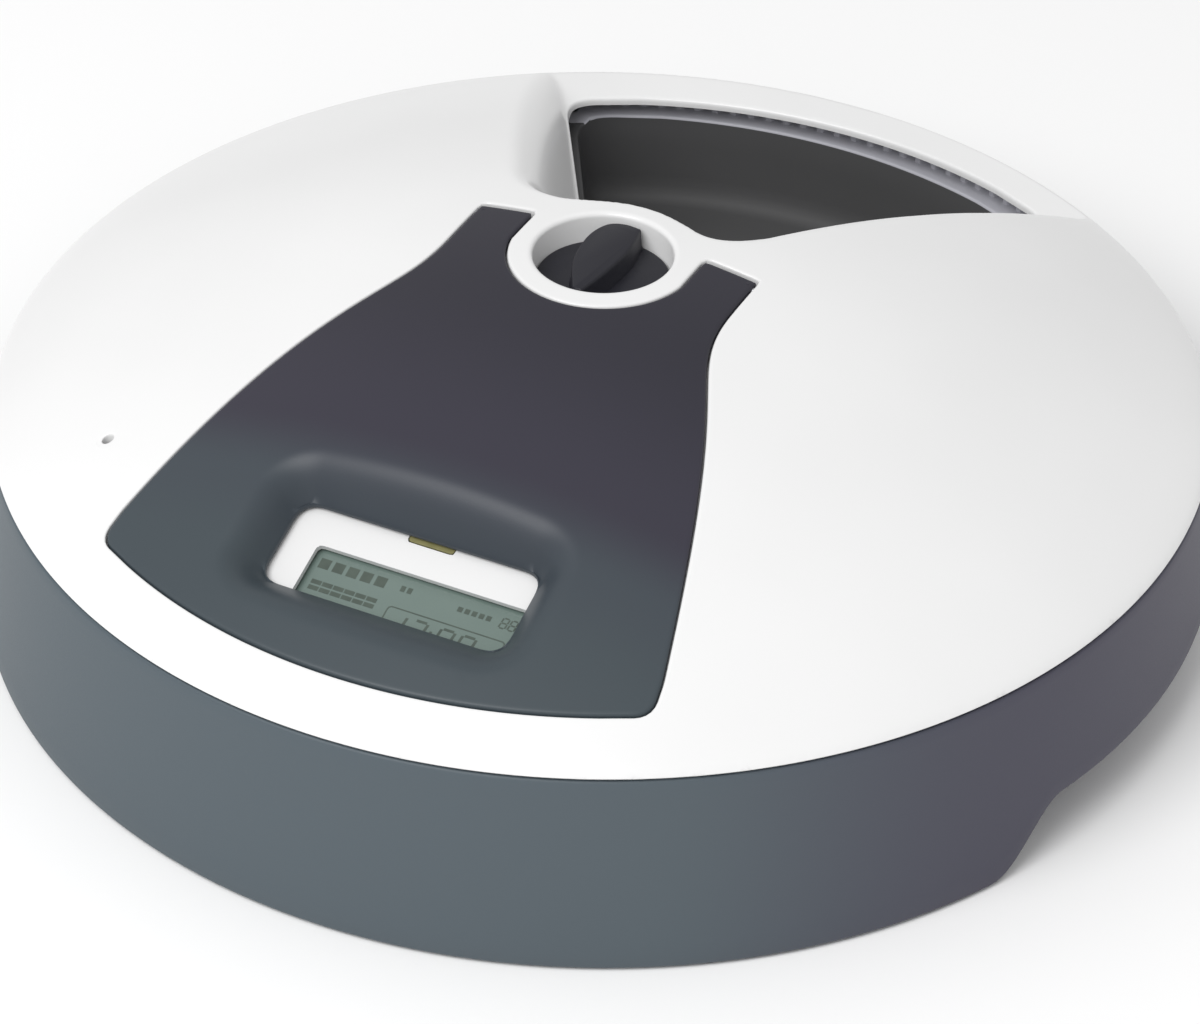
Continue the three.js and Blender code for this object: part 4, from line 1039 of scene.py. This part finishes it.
def pocket_outline(middle):
    """One compartment, its axis at an angle in degrees."""
    half = math.pi / POCKETS
    reach = [half - math.asin(DIVIDER / 2 / r) for r in (0.027, CAVITY_RADIUS)]
    spare = 0.024 / CAVITY_RADIUS
    outer = np.linspace(-reach[1] + spare, reach[1] - spare, 24)
    corners = [(0.027 * math.cos(reach[0]), -0.027 * math.sin(reach[0])),
               (CAVITY_RADIUS * math.cos(reach[1]), -CAVITY_RADIUS * math.sin(reach[1]))]
    corners += [(CAVITY_RADIUS * math.cos(a), CAVITY_RADIUS * math.sin(a)) for a in outer]
    corners += [(x, -y) for x, y in corners[1::-1]]
    radii = [0.011, 0.011, *[0.0] * len(outer), 0.011, 0.011]
    points = softened(corners, radii, 10)
    c, s = math.cos(math.radians(middle)), math.sin(math.radians(middle))
    return resampled(points @ np.array([[c, s], [-s, c]]), 0.002)


def build_tray():
    skin = Skin()
    pockets = [pocket_outline(30 + 60 * i) for i in range(POCKETS)]
    outer_unit, bore_unit = circle(1.0, 2 * math.pi / 240), circle(1.0, 2 * math.pi / 240)
    holes = [bore_unit * BORE, *[grown(p, POCKET_EDGE) for p in pockets]]
    rim, bore, *mouths = skin.sheet(outer_unit * GEAR_ROOT, holes, (0.004,), tray_top)
    for mouth, pocket in zip(mouths, pockets):
        ring = roll_in(skin, mouth, pocket, POCKET_EDGE, 1, lambda o, lower: tray_top(o) - (0, 0, lower))
        for inwards, z in ((0.0005, 0.040), (0.0012, 0.030), (0.0018, 0.0272), (0.0028, 0.0248),
                           (0.0044, 0.0233), (0.0064, TRAY_FLOOR)):
            ring = skin.band(ring, at_height(grown(pocket, -inwards), z))
        skin.fill(ring)
    edge = 0.0003
    outside = [(GEAR_ROOT, GEAR_TOP - edge), (GEAR_ROOT + edge, GEAR_TOP), (TRAY_RADIUS - edge, GEAR_TOP),
               (TRAY_RADIUS, GEAR_TOP - edge), (TRAY_RADIUS, 0.0428), (TRAY_RADIUS - edge, 0.0425),
               (0.1442, 0.0425), (0.1442, TRAY_BOTTOM + 0.001), (0.1432, TRAY_BOTTOM),
               (0.0206, TRAY_BOTTOM), (0.0206, 0.0235), (BORE, 0.0235)]
    for radius, z in outside:
        rim = skin.band(rim, at_height(outer_unit * radius, z))
    skin.bridge(rim, bore)
    return skin.finish("food_tray_body", charcoal, sharp=42)


def build_teeth():
    skin = Skin()
    step = 2 * math.pi / TEETH

    def outline(tip, spread):
        root, end = GEAR_ROOT + 0.0002, GEAR_TIP + tip
        flanks = ((root, -0.40), (end + 0.0006, -0.26), (end, -0.15 + spread),
                  (end, 0.15 - spread), (end + 0.0006, 0.26), (root, 0.40))
        return np.array([(r * math.cos(a * step), r * math.sin(a * step)) for r, a in flanks])

    first = skin.ring(at_height(outline(0, 0), RIM_Z - 0.0002))
    skin.fill(first)
    last = skin.band(first, at_height(outline(0, 0), GEAR_TOP - 0.0004))
    skin.fill(skin.band(last, at_height(outline(0.0004, 0.02), GEAR_TOP - 0.0001)))
    # The teeth share the light grey of the painted highlight on the rim band.
    return repeated(skin.finish("ring_teeth", rim_painted_highlight, sharp=30), TEETH)


tray = build_tray()
# Painted highlight: faces of the rim band above the dividers get the light grey instead of the charcoal.
tray.data.materials.append(rim_painted_highlight)
for face in tray.data.polygons:
    middle = face.center
    if math.hypot(middle.x, middle.y) > RIM_START and middle.z > DIVIDER_TOP:
        face.material_index = 1
place_piece(tray, "tray", "tray_charcoal", "food_tray")
place_piece(build_teeth(), "tray", "tray_charcoal")

# %% [markdown]
# ## Lock knob
# A dark disc sits in the round recess, and a leaf-shaped grip stands on it: one side bowed, the
# other nearly straight, with a narrow tip in front and a sharp corner behind.

# %% The knob
BLADE_TOP = 0.0938


def through(points, steps=10):
    """A smooth open curve through the points."""
    points = [np.array(p, float) for p in points]
    points = [2 * points[0] - points[1], *points, 2 * points[-1] - points[-2]]
    out = []
    for a, b, c, d in zip(points, points[1:], points[2:], points[3:]):
        for t in np.linspace(0, 1, steps, endpoint=False):
            square, cube = 2 * a - 5 * b + 4 * c - d, 3 * b - a - 3 * c + d
            out.append(0.5 * (2 * b + (c - a) * t + square * t ** 2 + cube * t ** 3))
    return np.array([*out, points[-2]])


def blade_outline():
    bowed = through([(0.0026, 0.0160), (-0.0018, 0.0163), (-0.0058, 0.0144), (-0.0078, 0.0090),
                     (-0.0076, 0.0020), (-0.0056, -0.0060), (-0.0008, -0.0154)])
    straight = through([(0.0018, -0.0156), (0.0032, -0.0070), (0.0040, 0.0010), (0.0040, 0.0080),
                        (0.0026, 0.0160)])
    return np.vstack([bowed, straight[:-1]])


def build_knob():
    rim, low = KNOB_RECESS - 0.0006, KNOB_FLOOR - 0.0032
    disc = turned("lock_knob_body", [
        (0, low), (rim - 0.0003, low), (rim, low + 0.0003), (rim, KNOB_FLOOR - 0.0005),
        (rim - 0.0002, KNOB_FLOOR - 0.00015), (rim - 0.0005, KNOB_FLOOR), (0, KNOB_FLOOR),
    ], grip_dark, 120, sharp=60)
    skin = Skin()
    outline = resampled(blade_outline(), 0.0007)
    ring = skin.ring(at_height(grown(outline, 0.0007), KNOB_FLOOR - 0.0004))
    skin.fill(ring)
    for out, z in ((0.0007, KNOB_FLOOR), (0.0003, KNOB_FLOOR + 0.0006), (0.0001, BLADE_TOP - 0.0010),
                   (0.0, BLADE_TOP - 0.0005), (-0.0002, BLADE_TOP - 0.00012), (-0.0005, BLADE_TOP)):
        ring = skin.band(ring, at_height(grown(outline, out), z))
    skin.fill(ring)
    return joined(disc, skin.finish("blade", grip_dark, sharp=60))


place_piece(build_knob(), "knob", "knob_dark", "lock_knob")

# %% [markdown]
# ## Display
# A grey-green liquid-crystal face lies under the deck. Its marks are thin dark film: meal bars,
# a small counter and the clock's digits in a rounded frame, drawn as seven-bar figures.

# %% The display
LCD_TOP = -0.0045
LCD_THICK = 0.0012
MARK_LIFT = 0.00003
BARS = {"0": "abcdef", "1": "bc", "2": "abged", "8": "abcdefg"}
# rows of plain marks: count, first u, pitch, v, (width, height)
MARK_ROWS = (
    (5, -0.0212, 0.0038, -0.0006, (0.0028, 0.0028)),
    (6, -0.0208, 0.0030, -0.0059, (0.0027, 0.0012)),
    (6, -0.0208, 0.0030, -0.0076, (0.0027, 0.0012)),
    (2, 0.0000, 0.0018, -0.0006, (0.0012, 0.0016)),
    (5, 0.0156, 0.0019, -0.0012, (0.0013, 0.0014)),
    (2, 0.0272, 0.0021, -0.0118, (0.0014, 0.0019)),
)


def slab(skin, outline, low, high):
    first = skin.ring(on_panel(outline, low))
    skin.fill(first)
    skin.fill(skin.band(first, on_panel(outline, high)))


def bar(skin, u, v, width, height, lean=0.0):
    a, b = width / 2, height / 2
    outline = np.array([(u - a - lean, v - b), (u + a - lean, v - b),
                        (u + a + lean, v + b), (u - a + lean, v + b)])
    slab(skin, outline, LCD_TOP + MARK_LIFT / 3, LCD_TOP + MARK_LIFT)


def digit(skin, figure, u, v, width, height, thick):
    """One seven-bar figure, its middle at u, v."""
    a, b = width / 2, height / 2
    lean = 0.1 * height / 4
    place = {"a": (0, b), "g": (0, 0), "d": (0, -b), "b": (a, b / 2), "c": (a, -b / 2),
             "f": (-a, b / 2), "e": (-a, -b / 2)}
    for key in BARS[figure]:
        du, dv = place[key]
        du += 0.1 * dv
        if key in "agd":
            bar(skin, u + du, v + dv, width - thick * 1.3, thick)
        else:
            bar(skin, u + du, v + dv, thick, b - thick * 0.5, lean)


def build_marks():
    skin = Skin()
    for i, figure in enumerate("1200"):
        u = 0.0026 + i * 0.0056 + (0.0016 if i > 1 else 0)
        digit(skin, figure, u, -0.011, 0.0036, 0.0070, 0.0007)
    for dv in (-0.0015, 0.0015):
        bar(skin, 0.0118, -0.011 + dv, 0.0007, 0.0007)
    for u in (0.0273, 0.0296):
        digit(skin, "8", u, -0.0012, 0.0016, 0.0028, 0.0004)
    for count, u, pitch, v, size in MARK_ROWS:
        for i in range(count):
            bar(skin, u + i * pitch, v, *size)
    outer = resampled(rounded_box(0.0314, 0.0097, 0.0012, 0.0145, -0.01065), 0.0008)
    inner = grown(outer, -0.00035)
    first = skin.ring(on_panel(outer, LCD_TOP + MARK_LIFT / 3))
    last = skin.band(first, on_panel(outer, LCD_TOP + MARK_LIFT))
    last = skin.band(last, on_panel(inner, LCD_TOP + MARK_LIFT))
    skin.bridge(skin.band(last, on_panel(inner, LCD_TOP + MARK_LIFT / 3)), first)
    film = plastic("display_film", (0.055, 0.075, 0.062), (0.075, 0.10, 0.082), (0.3, 0.4), drift=200)
    return skin.finish("display_marks", film, sharp=30)


glass = Skin()
slab(glass, resampled(rounded_box(*LCD_SIZE, 0.001, *LCD_PLACE), 0.001), LCD_TOP - LCD_THICK, LCD_TOP)
place_piece(glass.finish("display_face", lcd_grey, sharp=30), "lid", "display_glass", "lcd_glass")
place_piece(build_marks(), "lid", "display_glass")

# %% [markdown]
# ## Buttons
# Five round buttons stand in the deck under the flap. Each has a rounded brim and a dished top.

# %% The buttons
BUTTON_TOP = 0.0002


def build_button(number):
    skin = Skin()
    u = button_u(number - 1)
    unit = circle(1.0, 2 * math.pi / 48)

    def ring(radius, w):
        return on_panel(unit * radius + (u, BUTTON_V), w)

    first = skin.ring(ring(BUTTON_RADIUS, BUTTON_TOP - 0.0044))
    skin.fill(first)
    last = first
    for radius, fall in ((0.005, 0.0008), (0.00485, 0.00035), (0.0045, 0.00008), (0.0041, 0.0),
                         (0.0036, 0.0001), (0.0024, 0.00035), (0.0008, 0.00045)):
        last = skin.band(last, ring(radius, BUTTON_TOP - fall))
    skin.fill(last)
    return skin.finish(f"push_button_{number}", button_grey, sharp=60)


for number in range(1, BUTTON_COUNT + 1):
    place_piece(build_button(number), f"button_{number}", "button_grey", f"button_{number}")

# %% [markdown]
# ## The working parts
# The post, the shafts, the cells, the board and the other inner pieces keep their CAD shapes. Each
# takes the finish that its material slot names.

# %% Finishes for the CAD pieces
FINISHES = {
    "lid_white": white, "base_slate": slate, "tray_charcoal": charcoal, "knob_dark": grip_dark,
    "button_grey": button_grey, "foot_rubber": rubber, "steel": steel, "natural_nylon": nylon,
    "board_green": board, "cell_jacket": jacket, "lens_amber": amber, "flap_dark": flap_finish,
}
SLOT_OF = {part["node"]: part["material_slot"] for part in frame["record"]["subparts"]}
for node, thing in frame["nodes"].items():
    finish = FINISHES.get(SLOT_OF[node], white)
    if not thing.material_slots:
        thing.data.materials.append(finish)
    for holder in thing.material_slots:
        holder.link = "OBJECT"
        holder.material = finish
print("finished CAD nodes", len(frame["nodes"]))
